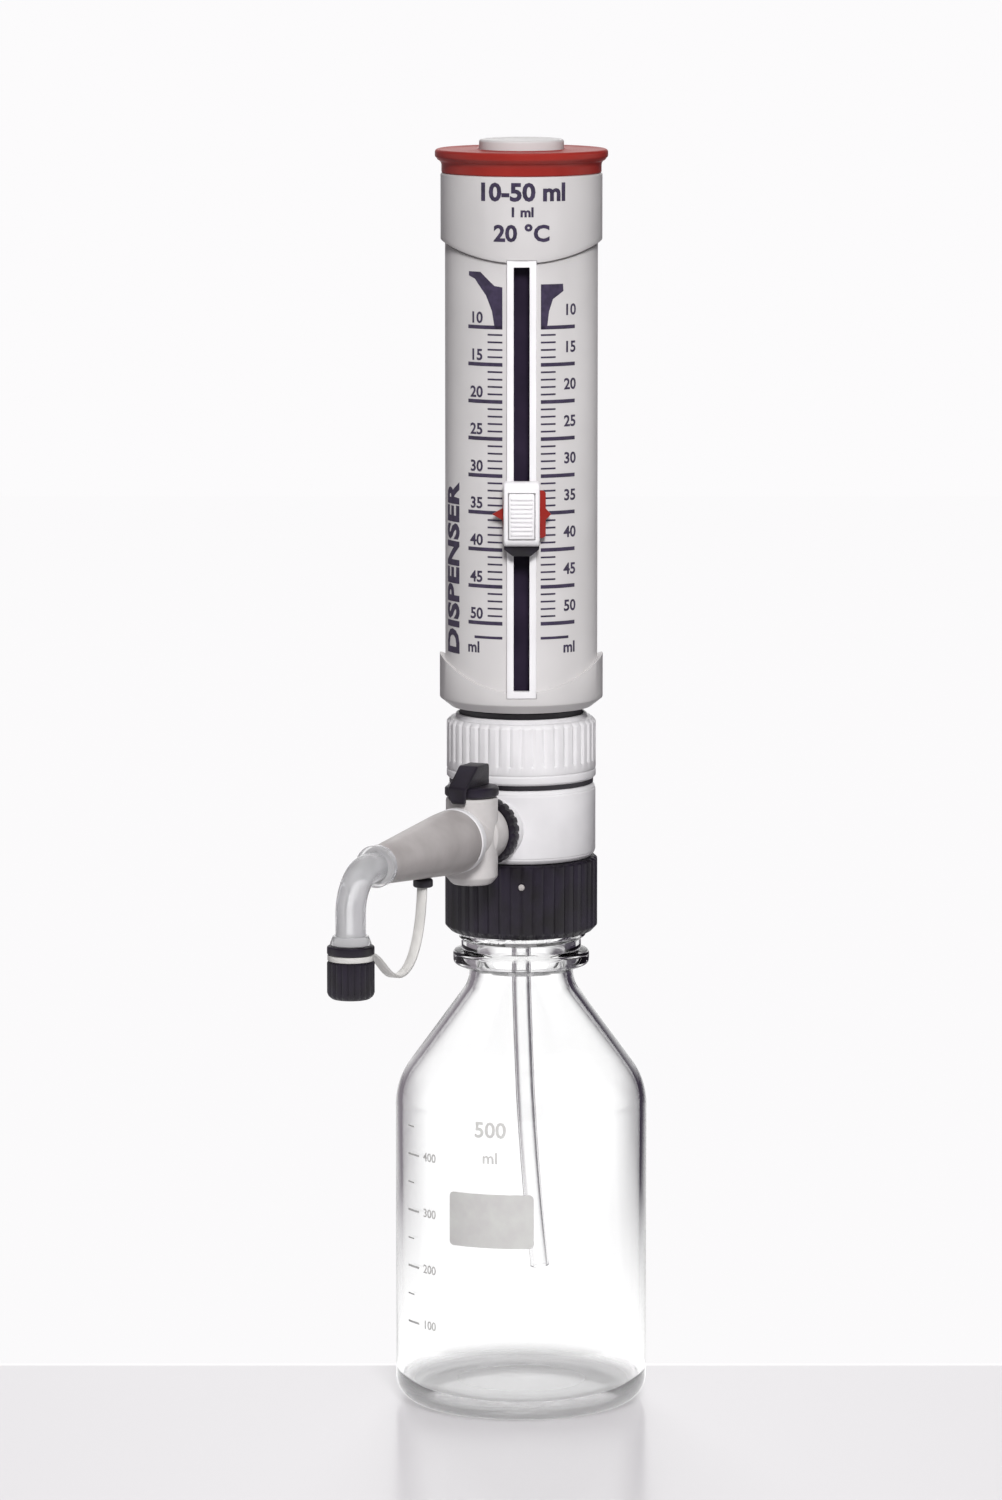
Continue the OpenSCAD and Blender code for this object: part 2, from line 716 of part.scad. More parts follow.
module slider_grip() {
    stem_back = shoe_y;
    color([0.95, 0.94, 0.95]) difference() {
        union() {
            intersection() {
                translate([grip_w / 2, 0, 0]) rotate([90, 0, -90]) linear_extrude(grip_w) grip_side();
                translate([0, -grip_y, pointer_z]) rotate([90, 0, 0])
                    linear_extrude(4 * grip_d, center = true) grip_face();
            }
            translate([-stem_w / 2, -grip_y - 0.2, stem_z])
                cube([stem_w, grip_y + 0.2 - stem_back, stem_h]);
        }
        translate([-button_w / 2 - 0.35, -2 * grip_y, button_z - 0.35])
            cube([button_w + 0.7, grip_y - grip_back_t, button_h + 0.7]);
        translate([0, -2 * grip_y, pin_z]) rotate([-90, 0, 0])
            cylinder(r = pin_r + 0.3, h = 2 * grip_y, $fn = 32);
        difference() {
            translate([-plate_w, -grip_y, pointer_z - plate_h / 2 - 0.1])
                cube([2 * plate_w, plate_t + 0.2, plate_h + 0.2]);
            translate([-stem_w / 2, -2 * grip_y, stem_z]) cube([stem_w, 2 * grip_y, stem_h]);
        }
    }
}

// The grip's outline from the front, with round corners
module grip_face() {
    q = 2.2;
    x = grip_w / 2 - q;
    polygon(concat(
        arc([x, grip_up - q], q, 0, 90, 4), arc([-x, grip_up - q], q, 90, 180, 4),
        arc([-x, q - grip_down], q, 180, 270, 4), arc([x, q - grip_down], q, 270, 360, 4)
    ));
}

module pointer_plate() {
    x = plate_w / 2;
    z = plate_h / 2;
    point = 1.8;
    color([0.52, 0.16, 0.14]) difference() {
        translate([0, -plate_y, pointer_z]) rotate([90, 0, 0]) linear_extrude(plate_t)
            polygon([
                [-x, 1.6 - z], [-x + 1.6, -z], [x - 1.6, -z], [x, 1.6 - z],
                [x, -point], [x + point, 0], [x, point], [x, z - 1.6], [x - 1.6, z],
                [1.6 - x, z], [-x, z - 1.6], [-x, point], [-x - point, 0], [-x, -point]
            ]);
        translate([-stem_w / 2 - 0.05, -2 * plate_y, stem_z - 0.05])
            cube([stem_w + 0.1, 2 * plate_y, stem_h + 0.1]);
    }
}

module slider_shoe() {
    lug_y = cage_r + free_gap;
    low = pointer_z + lug_rise - shoe_h;
    color([0.3, 0.3, 0.32]) difference() {
        union() {
            translate([-shoe_w / 2, -shoe_y, low]) cube([shoe_w, shoe_t, shoe_h]);
            translate([-shoe_w / 4, -shoe_y, low]) cube([shoe_w / 2, shoe_y - lug_y, shoe_h]);
        }
        translate([0, -2 * shoe_y, pin_z]) rotate([-90, 0, 0])
            cylinder(r = pin_r + 0.3, h = 2 * shoe_y, $fn = 32);
    }
}

module release_button() {
    ribs = 7;
    pitch = (button_h - 2) / ribs;
    color("white") {
        translate([-button_w / 2, -button_y - button_t, button_z]) cube([button_w, button_t, button_h]);
        for (i = [0:ribs - 1]) translate([0, -button_y - button_t, button_z + 1 + pitch * (i + 0.5)])
            rotate([0, 90, 0]) cylinder(r = 0.55, h = button_w - 1, center = true, $fn = 24);
        translate([0, -button_y, pin_z]) rotate([-90, 0, 0])
            cylinder(r = pin_r, h = button_y - shoe_y + 0.4, $fn = 32);
    }
}

module outlet_seal() {
    color("dimgray") on_outlet() ring(stub_r - 0.6, way_r + 0.5, stub_end_s, tap_flange_s);
}

module outlet_nut() {
    high = nut_web_s + nut_web_t;
    color([0.15, 0.13, 0.14]) on_outlet() difference() {
        ribbed_body(outlet_nut_r, 0.6, 28, outlet_nut_s, high, 0.5, 0.9);
        cylinder(r = stub_r + 0.35, h = nut_web_s);
        cylinder(r = tap_tail_r + run_fit, h = high + 1);
    }
}

module tap_body() {
    foot = 2.2;
    color([0.84, 0.83, 0.83]) difference() {
        union() {
            on_outlet() translate([0, 0, tap_flange_s]) cylinder(r = stub_r - 0.2, h = tap_flange_t);
            on_outlet() translate([0, 0, tap_flange_s]) cylinder(r = tap_tail_r, h = hub_s - tap_flange_s + 1);
            on_outlet() translate([0, 0, hub_s]) cylinder(r = hub_r, h = tap_s - hub_s);
            on_outlet() translate([0, 0, tap_s]) cylinder(r = hub_r - 1.2, h = nozzle_gap - 0.1);
            at_outlet(tap_s) turned([
                [0, tap_z], [tap_r - foot, tap_z], [tap_r, tap_z + foot],
                [tap_r, tap_top_z - 0.6], [tap_r - 0.6, tap_top_z], [0, tap_top_z]
            ]);
        }
        at_outlet(tap_s) translate([0, 0, plug_z]) cylinder(r = plug_r + run_fit, h = tap_top_z);
        on_outlet() cylinder(r = way_r, h = nozzle_s);
    }
}

module tap_plug() {
    color("white") difference() {
        at_outlet(tap_s) translate([0, 0, plug_z + 0.3]) cylinder(r = plug_r, h = knob_z - plug_z - 0.3);
        on_outlet() cylinder(r = way_r, h = nozzle_s, $fn = 48);
    }
}

// Handle on a disc: its fin runs along the outlet and droops past the disc in front
module tap_knob() {
    front = knob_disc_r + 2.6;
    top = knob_fin_top_z;
    disc_top = knob_z + knob_disc_h;
    color([0.14, 0.13, 0.14]) at_outlet(tap_s) {
        turned([
            [0, knob_z], [knob_disc_r - 0.6, knob_z], [knob_disc_r, knob_z + 0.6],
            [knob_disc_r, disc_top - 0.6], [knob_disc_r - 0.6, disc_top], [0, disc_top]
        ]);
        translate([0, knob_fin_w / 2, 0]) rotate([90, 0, 0]) linear_extrude(knob_fin_w) polygon(concat(
            [[-6.6, disc_top - 1], [knob_disc_r + 0.3, disc_top - 1], [knob_disc_r + 0.3, knob_z - 1.6]],
            arc([front - 1.4, knob_z - 0.2], 1.4, -90, 0, 4),
            [[front, disc_top + 0.6]],
            arc([2.4, top - 1.2], 1.2, 60, 90, 2),
            arc([-5.6, top - 1], 1, 90, 180, 4)
        ));
    }
}

module nozzle_housing() {
    start = nozzle_s + nozzle_straight;
    rim = nozzle_s + nozzle_rim_w;
    color([0.68, 0.66, 0.66]) difference() {
        on_outlet() turned([
            [nozzle_bore_r, nozzle_s], [nozzle_rim_r - 0.7, nozzle_s], [nozzle_rim_r, nozzle_s + 0.7],
            [nozzle_rim_r, rim], [nozzle_r, rim + 0.4], [nozzle_r, start - 2],
            [nozzle_r - 0.15, start + 1.5], [nozzle_radius(start + 4), start + 4],
            [nozzle_tip_r, nozzle_tip_s - 0.5],
            [nozzle_tip_r - 0.5, nozzle_tip_s], [nozzle_bore_r, nozzle_tip_s]
        ]);
        at_outlet(stud_s) translate([0, 0, stud_top_z - 1])
            cylinder(r = 1.65, h = outlet_z - nozzle_bore_r - 1 - stud_top_z + 1, $fn = 48);
    }
}

module outlet_seat() {
    color("white") on_outlet() translate([0, 0, outlet_seat_s])
        valve_seat(nozzle_bore_r - run_fit, outlet_seat_t);
}

module outlet_ball() {
    color("ivory") on_outlet() translate([0, 0, outlet_ball_s]) sphere(r = valve_ball_r);
}

// Coil of round wire, swept along a helix with closed ends
module coil(mean_r, wire_r, length, turns) {
    steps = 12;
    sides = 6;
    count = turns * steps;
    points = [for (i = [0:count], k = [0:sides - 1])
        let (a = 360 * i / steps, b = 360 * k / sides, r = mean_r + wire_r * cos(b))
        [r * cos(a), r * sin(a), length * i / count + wire_r * sin(b)]];
    faces = concat(
        [[for (k = [0:sides - 1]) k]],
        [for (i = [0:count - 1], k = [0:sides - 1])
            let (n = (k + 1) % sides) [i * sides + k, (i + 1) * sides + k, (i + 1) * sides + n, i * sides + n]],
        [[for (k = [sides - 1:-1:0]) count * sides + k]]
    );
    polyhedron(points, faces);
}

module outlet_spring() {
    wire = 0.35;
    mean = 2.3;
    low = outlet_ball_s + sqrt(pow(valve_ball_r, 2) - pow(mean - wire, 2)) + wire + 0.1;
    color("silver") on_outlet() translate([0, 0, low])
        coil(mean, wire, spring_stop_s - wire - 0.05 - low, 6);
}

module spring_stop() {
    color("white") on_outlet()
        ring(nozzle_bore_r - run_fit, seat_bore_r, spring_stop_s, spring_stop_s + spring_stop_t);
}

module spout_tube() {
    color("aliceblue", 0.5) {
        on_outlet() ring(spout_r, spout_bore_r, spout_start_s, spout_s - bend_r);
        at_outlet(spout_s - bend_r) translate([0, 0, bend_z]) rotate([90, 0, 0])
            rotate_extrude(angle = 90) translate([bend_r, 0]) difference() {
                circle(r = spout_r, $fn = 64);
                circle(r = spout_bore_r, $fn = 64);
            }
        at_outlet(spout_s) ring(spout_r, spout_bore_r, spout_end_z, bend_z);
    }
}

module spout_collar() {
    bore = spout_r + run_fit;
    color("aliceblue", 0.5) {
        at_outlet(spout_s) turned([
            [bore, collar_z], [bore + 1.8, collar_z], [bore + 0.8, collar_z + collar_h], [bore, collar_z + collar_h]
        ]);
        on_outlet() ring(bore + 2, bore, nozzle_tip_s + 0.1, nozzle_tip_s + 3.1);
    }
}

module spout_cap() {
    groove_top = closure_groove_z + closure_groove_h;
    top = closure_z + closure_h;
    color([0.14, 0.13, 0.14]) at_outlet(spout_s) difference() {
        union() {
            ribbed_body(closure_r, 0.4, 20, closure_z, closure_groove_z, 1.8, 0.8);
            translate([0, 0, closure_groove_z - 1]) cylinder(r = closure_groove_r, h = closure_groove_h + 2);
            ring(closure_r, 0, groove_top, top);
        }
        translate([0, 0, closure_z + closure_floor]) cylinder(r = spout_r + free_gap, h = closure_h);
    }
}

module strap_stud() {
    color([0.2, 0.18, 0.2]) at_outlet(stud_s) {
        translate([0, 0, strap_top_z]) cylinder(r = stud_r, h = stud_h);
        translate([0, 0, strap_top_z]) cylinder(r = 1.6, h = outlet_z - nozzle_bore_r - 1.2 - strap_top_z);
    }
}

module cap_strap() {
    first = [
        [stud_s + 0.6, strap_top_z], [stud_s + 1.4, strap_top_z - 12],
        [strap_mid_s - 13, strap_low_z], [strap_mid_s, strap_low_z]
    ];
    second = [
        [strap_mid_s, strap_low_z], [strap_mid_s + 11, strap_low_z],
        [strap_end_s - 14, loop_z], [strap_end_s, loop_z]
    ];
    route = concat(
        [for (i = [0:9]) let (t = i / 10) [curve_point(first, t), curve_normal(first, t)]],
        [for (i = [0:10]) let (t = i / 10) [curve_point(second, t), curve_normal(second, t)]]
    );
    last = len(route) - 1;
    color([0.82, 0.82, 0.8]) {
        rotate([0, 0, outlet_dir]) translate([0, strap_w / 2, 0]) rotate([90, 0, 0])
            linear_extrude(strap_w) polygon(concat(
                [for (p = route) p[0] + p[1] * strap_t / 2],
                [for (i = [last:-1:0]) route[i][0] - route[i][1] * strap_t / 2]
            ));
        at_outlet(spout_s)
            ring(closure_r - 0.2, closure_groove_r + run_fit, closure_groove_z + 0.1, loop_z + strap_t / 2 + 0.3);
    }
}

reagent_bottle();
bottle_nut();
mouth_seal();
valve_head();
suction_tube();
inlet_seat();
inlet_ball();
inlet_cage();
groove_ring();
clamp_nut();
barrel_seal();
glass_barrel();
barrel_holder();
guide_cage();
damper_ring();
scale_sleeve();
slot_liner();
lift_plate();
red_cap();
cap_disc();
cap_screw();
piston_rod();
piston_head();
piston_seals();
slider_grip();
pointer_plate();
slider_shoe();
release_button();
outlet_seal();
outlet_nut();
tap_body();
tap_plug();
tap_knob();
nozzle_housing();
outlet_seat();
outlet_ball();
outlet_spring();
spring_stop();
spout_tube();
spout_collar();
spout_cap();
strap_stud();
cap_strap();
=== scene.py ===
import json
import math

import bmesh
import bpy
from mathutils import Matrix, Vector


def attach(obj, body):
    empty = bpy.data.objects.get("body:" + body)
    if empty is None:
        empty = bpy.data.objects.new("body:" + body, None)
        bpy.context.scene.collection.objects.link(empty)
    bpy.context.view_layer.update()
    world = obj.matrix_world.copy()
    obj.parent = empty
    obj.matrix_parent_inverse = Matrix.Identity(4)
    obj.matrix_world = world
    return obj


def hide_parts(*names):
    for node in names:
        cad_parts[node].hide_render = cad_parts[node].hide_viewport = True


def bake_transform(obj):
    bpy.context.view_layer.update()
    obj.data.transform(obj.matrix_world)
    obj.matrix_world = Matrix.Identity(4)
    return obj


# Bottle-top dispenser on its laboratory bottle; sizes in the dictionaries are in millimetres
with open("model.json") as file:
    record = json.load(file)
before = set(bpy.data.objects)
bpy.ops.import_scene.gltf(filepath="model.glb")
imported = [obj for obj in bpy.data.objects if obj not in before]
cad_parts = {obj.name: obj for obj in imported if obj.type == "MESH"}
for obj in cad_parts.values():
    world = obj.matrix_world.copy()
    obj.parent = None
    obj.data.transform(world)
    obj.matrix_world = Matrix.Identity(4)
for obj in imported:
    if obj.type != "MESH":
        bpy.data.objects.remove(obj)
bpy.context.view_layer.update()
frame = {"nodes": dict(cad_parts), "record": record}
nodes = frame["nodes"]
scene = bpy.context.scene
mm = 0.001
inkThick = 0.06
print("frame loaded:", len(nodes), "nodes")

# what several pieces share: the outlet's direction and height, and how far out the stopcock and the spout stand
outlet = {"turn": 245, "height": 201.0, "tap": 39.5, "spout": 131.8}


def rotation(angle, axis):
    return Matrix.Rotation(math.radians(angle), 4, axis)


alongOutlet = rotation(outlet["turn"], "Z") @ Matrix.Translation((0, 0, outlet["height"] * mm)) @ rotation(90, "Y")


def atOutlet(distance):
    # stands an upright piece at a distance along the outlet
    return rotation(outlet["turn"], "Z") @ Matrix.Translation((distance * mm, 0, 0))


# helpers for meshes

def arcPoints(centre, radius, start, end, steps):
    angles = [math.radians(start + (end - start) * i / steps) for i in range(steps + 1)]
    return [(centre[0] + radius * math.cos(a), centre[1] + radius * math.sin(a)) for a in angles]


def spinProfile(points, steps=96):
    # turns a half outline (radius, height) about Z; the outline closes itself unless both its ends are on the axis
    bm = bmesh.new()
    chain = [bm.verts.new((r * mm, 0, z * mm)) for r, z in points]
    edges = [bm.edges.new(pair) for pair in zip(chain, chain[1:])]
    if points[0][0] > 0 or points[-1][0] > 0:
        edges.append(bm.edges.new((chain[-1], chain[0])))
    bmesh.ops.spin(bm, geom=chain + edges, cent=(0, 0, 0), axis=(0, 0, 1), dvec=(0, 0, 0),
                   angle=math.tau, steps=steps, use_merge=True, use_normal_flip=False, use_duplicate=False)
    bmesh.ops.remove_doubles(bm, verts=bm.verts, dist=1e-6)
    bmesh.ops.recalc_face_normals(bm, faces=bm.faces)
    return bm


def roundEdges(bm, edges, width, segments):
    bmesh.ops.bevel(bm, geom=edges, offset=width * mm, offset_type="OFFSET", affect="EDGES",
                    segments=segments, profile=0.5, material=-1, clamp_overlap=True)


def softenEdges(bm, width, segments=2, fromAngle=35, where=None):
    # rounds the edges that are sharper than an angle
    sharp = [e for e in bm.edges if len(e.link_faces) == 2
             and e.calc_face_angle(0) > math.radians(fromAngle) and (where is None or where(e))]
    if sharp:
        roundEdges(bm, sharp, width, segments)


def raiseRibs(bm, look):
    # presses the grooves between the ribs into the wall of a turned drum
    for v in bm.verts:
        radius = math.hypot(v.co.x, v.co.y) / mm
        if radius < look["radius"] - 2 * look["depth"] or not look["from"] <= v.co.z / mm <= look["to"]:
            continue
        phase = (math.atan2(v.co.y, v.co.x) / math.tau * look["ribs"]) % 1
        level = min(1, max(0, (abs(phase - 0.5) * 2 - look["land"]) / (1 - look["land"])))
        dip = look["depth"] * level * level * (3 - 2 * level)
        v.co.x *= 1 - dip / radius
        v.co.y *= 1 - dip / radius


def moveInto(bm, matrix):
    bmesh.ops.transform(bm, matrix=matrix, verts=bm.verts, space=Matrix.Identity(4))


def addBlock(bm, size, place):
    # a box by its size and its centre
    made = bmesh.ops.create_cube(bm, size=1)["verts"]
    bmesh.ops.scale(bm, vec=[s * mm for s in size], verts=made)
    bmesh.ops.translate(bm, vec=[p * mm for p in place], verts=made)
    return made


ribSteps = 8


def turnShape(shape, place=None):
    # a turned body from its settings, moved to its place if it isn't built there
    bm = spinProfile(shape["outline"], shape["ribs"] * ribSteps if "ribs" in shape else shape.get("steps", 96))
    if "soft" in shape:
        softenEdges(bm, shape["soft"], shape.get("softSteps", 2), shape.get("softFrom", 35))
    if "ribs" in shape:
        raiseRibs(bm, shape)
    if place:
        moveInto(bm, place)
    return bm


def thickenFaces(bm, faces, depth):
    # gives flat faces a thickness towards the back
    made = bmesh.ops.extrude_face_region(bm, geom=faces)["geom"]
    bmesh.ops.translate(bm, vec=(0, depth * mm, 0), verts=[g for g in made if isinstance(g, bmesh.types.BMVert)])


def addOutline(bm, outline, y, thick):
    # a flat plate from its outline (x, z)
    thickenFaces(bm, [bm.faces.new([bm.verts.new((x * mm, y * mm, z * mm)) for x, z in outline])], thick)
    bmesh.ops.recalc_face_normals(bm, faces=bm.faces)


def skinLoops(bm, loops):
    # skins a row of closed loops of points, and closes both ends
    before = None
    for points in loops:
        loop = [bm.verts.new([c * mm for c in point]) for point in points]
        edges = [bm.edges.new((loop[k], loop[(k + 1) % len(loop)])) for k in range(len(loop))]
        if before:
            bmesh.ops.bridge_loops(bm, edges=before + edges)
        else:
            bm.faces.new(loop)
        before = edges
    bm.faces.new(loop)
    bmesh.ops.recalc_face_normals(bm, faces=bm.faces)


def toMesh(bm, name):
    mesh = bpy.data.meshes.new(name)
    bm.to_mesh(mesh)
    bm.free()
    return mesh


def addObject(name, data):
    made = bpy.data.objects.new(name, data)
    scene.collection.objects.link(made)
    return made


def joinInto(bm, other):
    mesh = toMesh(other, "joined")
    bm.from_mesh(mesh)
    bpy.data.meshes.remove(mesh)


def wrapRound(bm, radius):
    # lays a flat print, x along the surface and -y outwards, round an upright cylinder that faces -Y
    for v in bm.verts:
        angle = v.co.x / (radius * mm)
        reach = radius * mm - v.co.y
        v.co.x, v.co.y = reach * math.sin(angle), -reach * math.cos(angle)


def addWords(bm, words, size, x, z, bold=0.0, turn=0, spread=1.0):
    curve = bpy.data.curves.new("words", "FONT")
    curve.body = words
    curve.size = size * mm
    curve.align_x = "CENTER"
    curve.align_y = "CENTER"
    curve.extrude = inkThick * mm / 2
    curve.offset = bold * mm
    curve.space_character = spread
    curve.resolution_u = 3
    holder = addObject("words", curve)
    bpy.context.view_layer.update()
    mesh = bpy.data.meshes.new_from_object(holder.evaluated_get(bpy.context.evaluated_depsgraph_get()))
    mesh.transform(Matrix.Translation((x * mm, 0, z * mm)) @ rotation(turn, "Y") @ rotation(90, "X"))
    bm.from_mesh(mesh)
    bpy.data.objects.remove(holder)
    bpy.data.curves.remove(curve)
    bpy.data.meshes.remove(mesh)


def sliceUpright(bm, start, end, step):
    # cuts a flat print into narrow strips, so that it can follow a round wall
    for i in range(int((end - start) / step) + 1):
        bmesh.ops.bisect_plane(bm, geom=bm.verts[:] + bm.edges[:] + bm.faces[:], dist=1e-7,
                               plane_co=((start + i * step) * mm, 0, 0), plane_no=(1, 0, 0))


sharpFrom = 32


def finishPiece(bm, name, material, body, stands=(), smooth=sharpFrom):
    mesh = toMesh(bm, name)
    mesh.shade_smooth()
    mesh.set_sharp_from_angle(angle=math.radians(smooth))
    piece = addObject(name, mesh)
    mesh.materials.append(material)
    if body:
        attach(piece, body)
    if stands:
        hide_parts(*stands)
    return piece


# helpers for materials

def fromHex(code):
    # an sRGB hex value as linear colour
    channels = [int(code[i:i + 2], 16) / 255 for i in (1, 3, 5)]
    return tuple(c / 12.92 if c <= 0.04045 else ((c + 0.055) / 1.055) ** 2.4 for c in channels) + (1.0,)


def addNode(tree, kind, settings=None):
    # an input, by its name or number, is linked to a socket or set to a constant; the rest are the node's settings
    node = tree.nodes.new(kind)
    for key, value in (settings or {}).items():
        if isinstance(value, bpy.types.NodeSocket):
            tree.links.new(value, node.inputs[key])
        elif isinstance(key, int) or key in node.inputs:
            node.inputs[key].default_value = value
        else:
            setattr(node, key, value)
    return node


def rampOf(tree, value, *stops):
    ramp = addNode(tree, "ShaderNodeValToRGB", {"Fac": value})
    for element, (position, code) in zip(ramp.color_ramp.elements, stops):
        element.position = position
        element.color = fromHex(code)
    return ramp.outputs["Color"]


def rangeOf(tree, value, start, end, low=0.0, high=1.0, curve="LINEAR"):
    # what goes from low to high while a value goes from start to end
    return addNode(tree, "ShaderNodeMapRange", {
        "Value": value, "From Min": start, "From Max": end, "To Min": low, "To Max": high,
        "interpolation_type": curve}).outputs["Result"]


def mathOf(tree, operation, *values):
    return addNode(tree, "ShaderNodeMath", {"operation": operation, **dict(enumerate(values))}).outputs["Value"]


def mixOf(tree, kind, factor, first, second):
    return addNode(tree, "ShaderNodeMix", {
        "data_type": kind, "Factor": factor, "A": first, "B": second}).outputs["Result"]


def perMetre(size):
    # the scale of a texture whose features are about this many millimetres wide
    return 1000 / size


def noiseOf(tree, place, size, detail):
    return addNode(tree, "ShaderNodeTexNoise", {
        "Vector": place, "Scale": perMetre(size), "Detail": detail}).outputs["Fac"]


def addRelief(tree, surface, height, strength, depth):
    relief = addNode(tree, "ShaderNodeBump", {"Height": height, "Strength": strength, "Distance": depth * mm})
    tree.links.new(relief.outputs["Normal"], surface.inputs["Normal"])


def startMaterial(name, shader):
    material = bpy.data.materials.new(name)
    material.use_nodes = True
    tree = material.node_tree
    tree.nodes.clear()
    surface = addNode(tree, "ShaderNodeBsdfPrincipled", shader)
    addNode(tree, "ShaderNodeOutputMaterial", {"Surface": surface.outputs["BSDF"]})
    place = addNode(tree, "ShaderNodeTexCoord").outputs["Object"]
    return material, tree, surface, place


def mouldedPlastic(name, look):
    # fine spark-eroded grain in the gloss, and slow drifts of tone from the flow of the melt
    look = {"ior": 1.49, "shine": 0.5, "glow": 0.0, "glowDepth": 1.5, "driftSize": 18, "grainSize": 0.5,
            "grainDepth": 0.02, "driftSpan": (0.35, 0.65), "grainSpan": (0.3, 0.7), **look}
    low, high = look["driftSpan"]
    material, tree, surface, place = startMaterial(name, {
        "IOR": look["ior"], "Specular IOR Level": look["shine"], "Subsurface Weight": look["glow"],
        "Subsurface Scale": look["glowDepth"] * mm, "Subsurface Radius": (1.0, 1.0, 1.0)})
    tone = rampOf(tree, noiseOf(tree, place, look["driftSize"], 3.0), (low, look["dark"]), (high, look["light"]))
    tree.links.new(tone, surface.inputs["Base Color"])
    grain = noiseOf(tree, place, look["grainSize"], 2.0)
    tree.links.new(rangeOf(tree, grain, *look["grainSpan"], *look["gloss"]), surface.inputs["Roughness"])
    addRelief(tree, surface, grain, look["relief"], look["grainDepth"])
    return material


def clearSolid(name, look):
    # clear body whose wall waves very slightly, as blown or drawn walls do
    look = {"clear": 1.0, "waveDepth": 0.1, **look}
    material, tree, surface, place = startMaterial(name, {
        "Base Color": fromHex(look["colour"]), "Transmission Weight": look["clear"], "IOR": look["ior"],
        "Roughness": look["roughness"]})
    addRelief(tree, surface, noiseOf(tree, place, look["waveSize"], 1.0), look["relief"], look["waveDepth"])
    if "frostTop" in look:
        height = addNode(tree, "ShaderNodeSeparateXYZ", {"Vector": place}).outputs["Z"]
        frost = rangeOf(tree, height, 0.0, look["frostTop"] * mm, look["frostClear"], 1.0, "SMOOTHSTEP")
        tree.links.new(frost, surface.inputs["Transmission Weight"])
    return material


# camera, light and floor

cameraView = {"place": (-0.0069, -2.37664, 0.55905), "tilt": 82, "lens": 169.06, "sensor": 36}
cameraData = bpy.data.cameras.new("camera")
cameraData.lens = cameraView["lens"]
cameraData.sensor_width = cameraView["sensor"]
cameraData.clip_end = 60
camera = addObject("camera", cameraData)
camera.location = cameraView["place"]
camera.rotation_euler = (math.radians(cameraView["tilt"]), 0, 0)
scene.camera = camera
scene.view_settings.view_transform = "Standard"

# soft light; the boxes don't show in the glass or in the gloss
lightAim = (0, 0, 0.25)
softboxes = {"topBox": {"place": (0.15, -0.55, 1.5), "size": (0.9, 0.7), "power": 3.5},
             "keyBox": {"place": (0.18, -2.0, 1.5), "size": (0.5, 0.6), "power": 52.5},
             "rearBox": {"place": (-0.1, 2.1, 1.3), "size": (1.1, 0.9), "power": 38.0}}
for name, look in softboxes.items():
    data = bpy.data.lights.new(name, "AREA")
    data.shape = "RECTANGLE"
    data.size, data.size_y = look["size"]
    data.energy = look["power"]
    box = addObject(name, data)
    box.location = look["place"]
    box.rotation_euler = (Vector(lightAim) - Vector(look["place"])).to_track_quat("-Z", "Y").to_euler()
    box.visible_glossy = False
    box.visible_transmission = False

# directions are shares of a unit vector; the flags stand at the sides, and end before the very side
studio = {"backdrop": "#FCFBFC", "plasticRoom": "#302E31", "paper": "#FFFFFF", "paperGlow": 1.14,
          "leftFlag": "#7C767D", "rightFlag": "#3A3440", "flagSeam": 0.01, "flagStart": (0.03, 0.45),
          "flagEnd": (0.86, 0.97), "frontRoom": "#A8A4AA", "frontEnd": (-0.5, -0.25)}


def paperAndFlags(tree, side, amount):
    # white paper that gives way to a grey flag on the left and a black one on the right
    onRight = rangeOf(tree, side, -studio["flagSeam"], studio["flagSeam"])
    flagTone = rampOf(tree, onRight, (0.0, studio["leftFlag"]), (1.0, studio["rightFlag"]))
    return mixOf(tree, "RGBA", amount, fromHex(studio["paper"]), flagTone)


# the flags draw the dark edges of the glass; the plastics get their light from the softboxes
world = bpy.data.worlds.new("paleStudio")
scene.world = world
world.use_nodes = True
room = world.node_tree
room.nodes.clear()
direction = addNode(room, "ShaderNodeSeparateXYZ", {
    "Vector": addNode(room, "ShaderNodeTexCoord").outputs["Generated"]}).outputs
sideways = mathOf(room, "ABSOLUTE", direction["X"])
flagBand = mathOf(room, "MULTIPLY", rangeOf(room, sideways, *studio["flagStart"]),
                  rangeOf(room, sideways, *studio["flagEnd"], 1.0, 0.0))
shade = mixOf(room, "RGBA", rangeOf(room, direction["Y"], *studio["frontEnd"]), fromHex(studio["frontRoom"]),
              paperAndFlags(room, direction["X"], flagBand))
ray = addNode(room, "ShaderNodeLightPath").outputs
throughGlass, onPlastic, behindAll = (
    addNode(room, "ShaderNodeBackground", {"Color": colour, "Strength": strength}).outputs["Background"]
    for colour, strength in ((shade, studio["paperGlow"]), (fromHex(studio["plasticRoom"]), 1.0),
                             (fromHex(studio["backdrop"]), 1.0)))
unseen = addNode(room, "ShaderNodeMixShader", {0: ray["Is Diffuse Ray"], 1: throughGlass, 2: onPlastic})
both = addNode(room, "ShaderNodeMixShader", {0: ray["Is Camera Ray"], 1: unseen.outputs["Shader"], 2: behindAll})
addNode(room, "ShaderNodeOutputWorld", {"Surface": both.outputs["Shader"]})

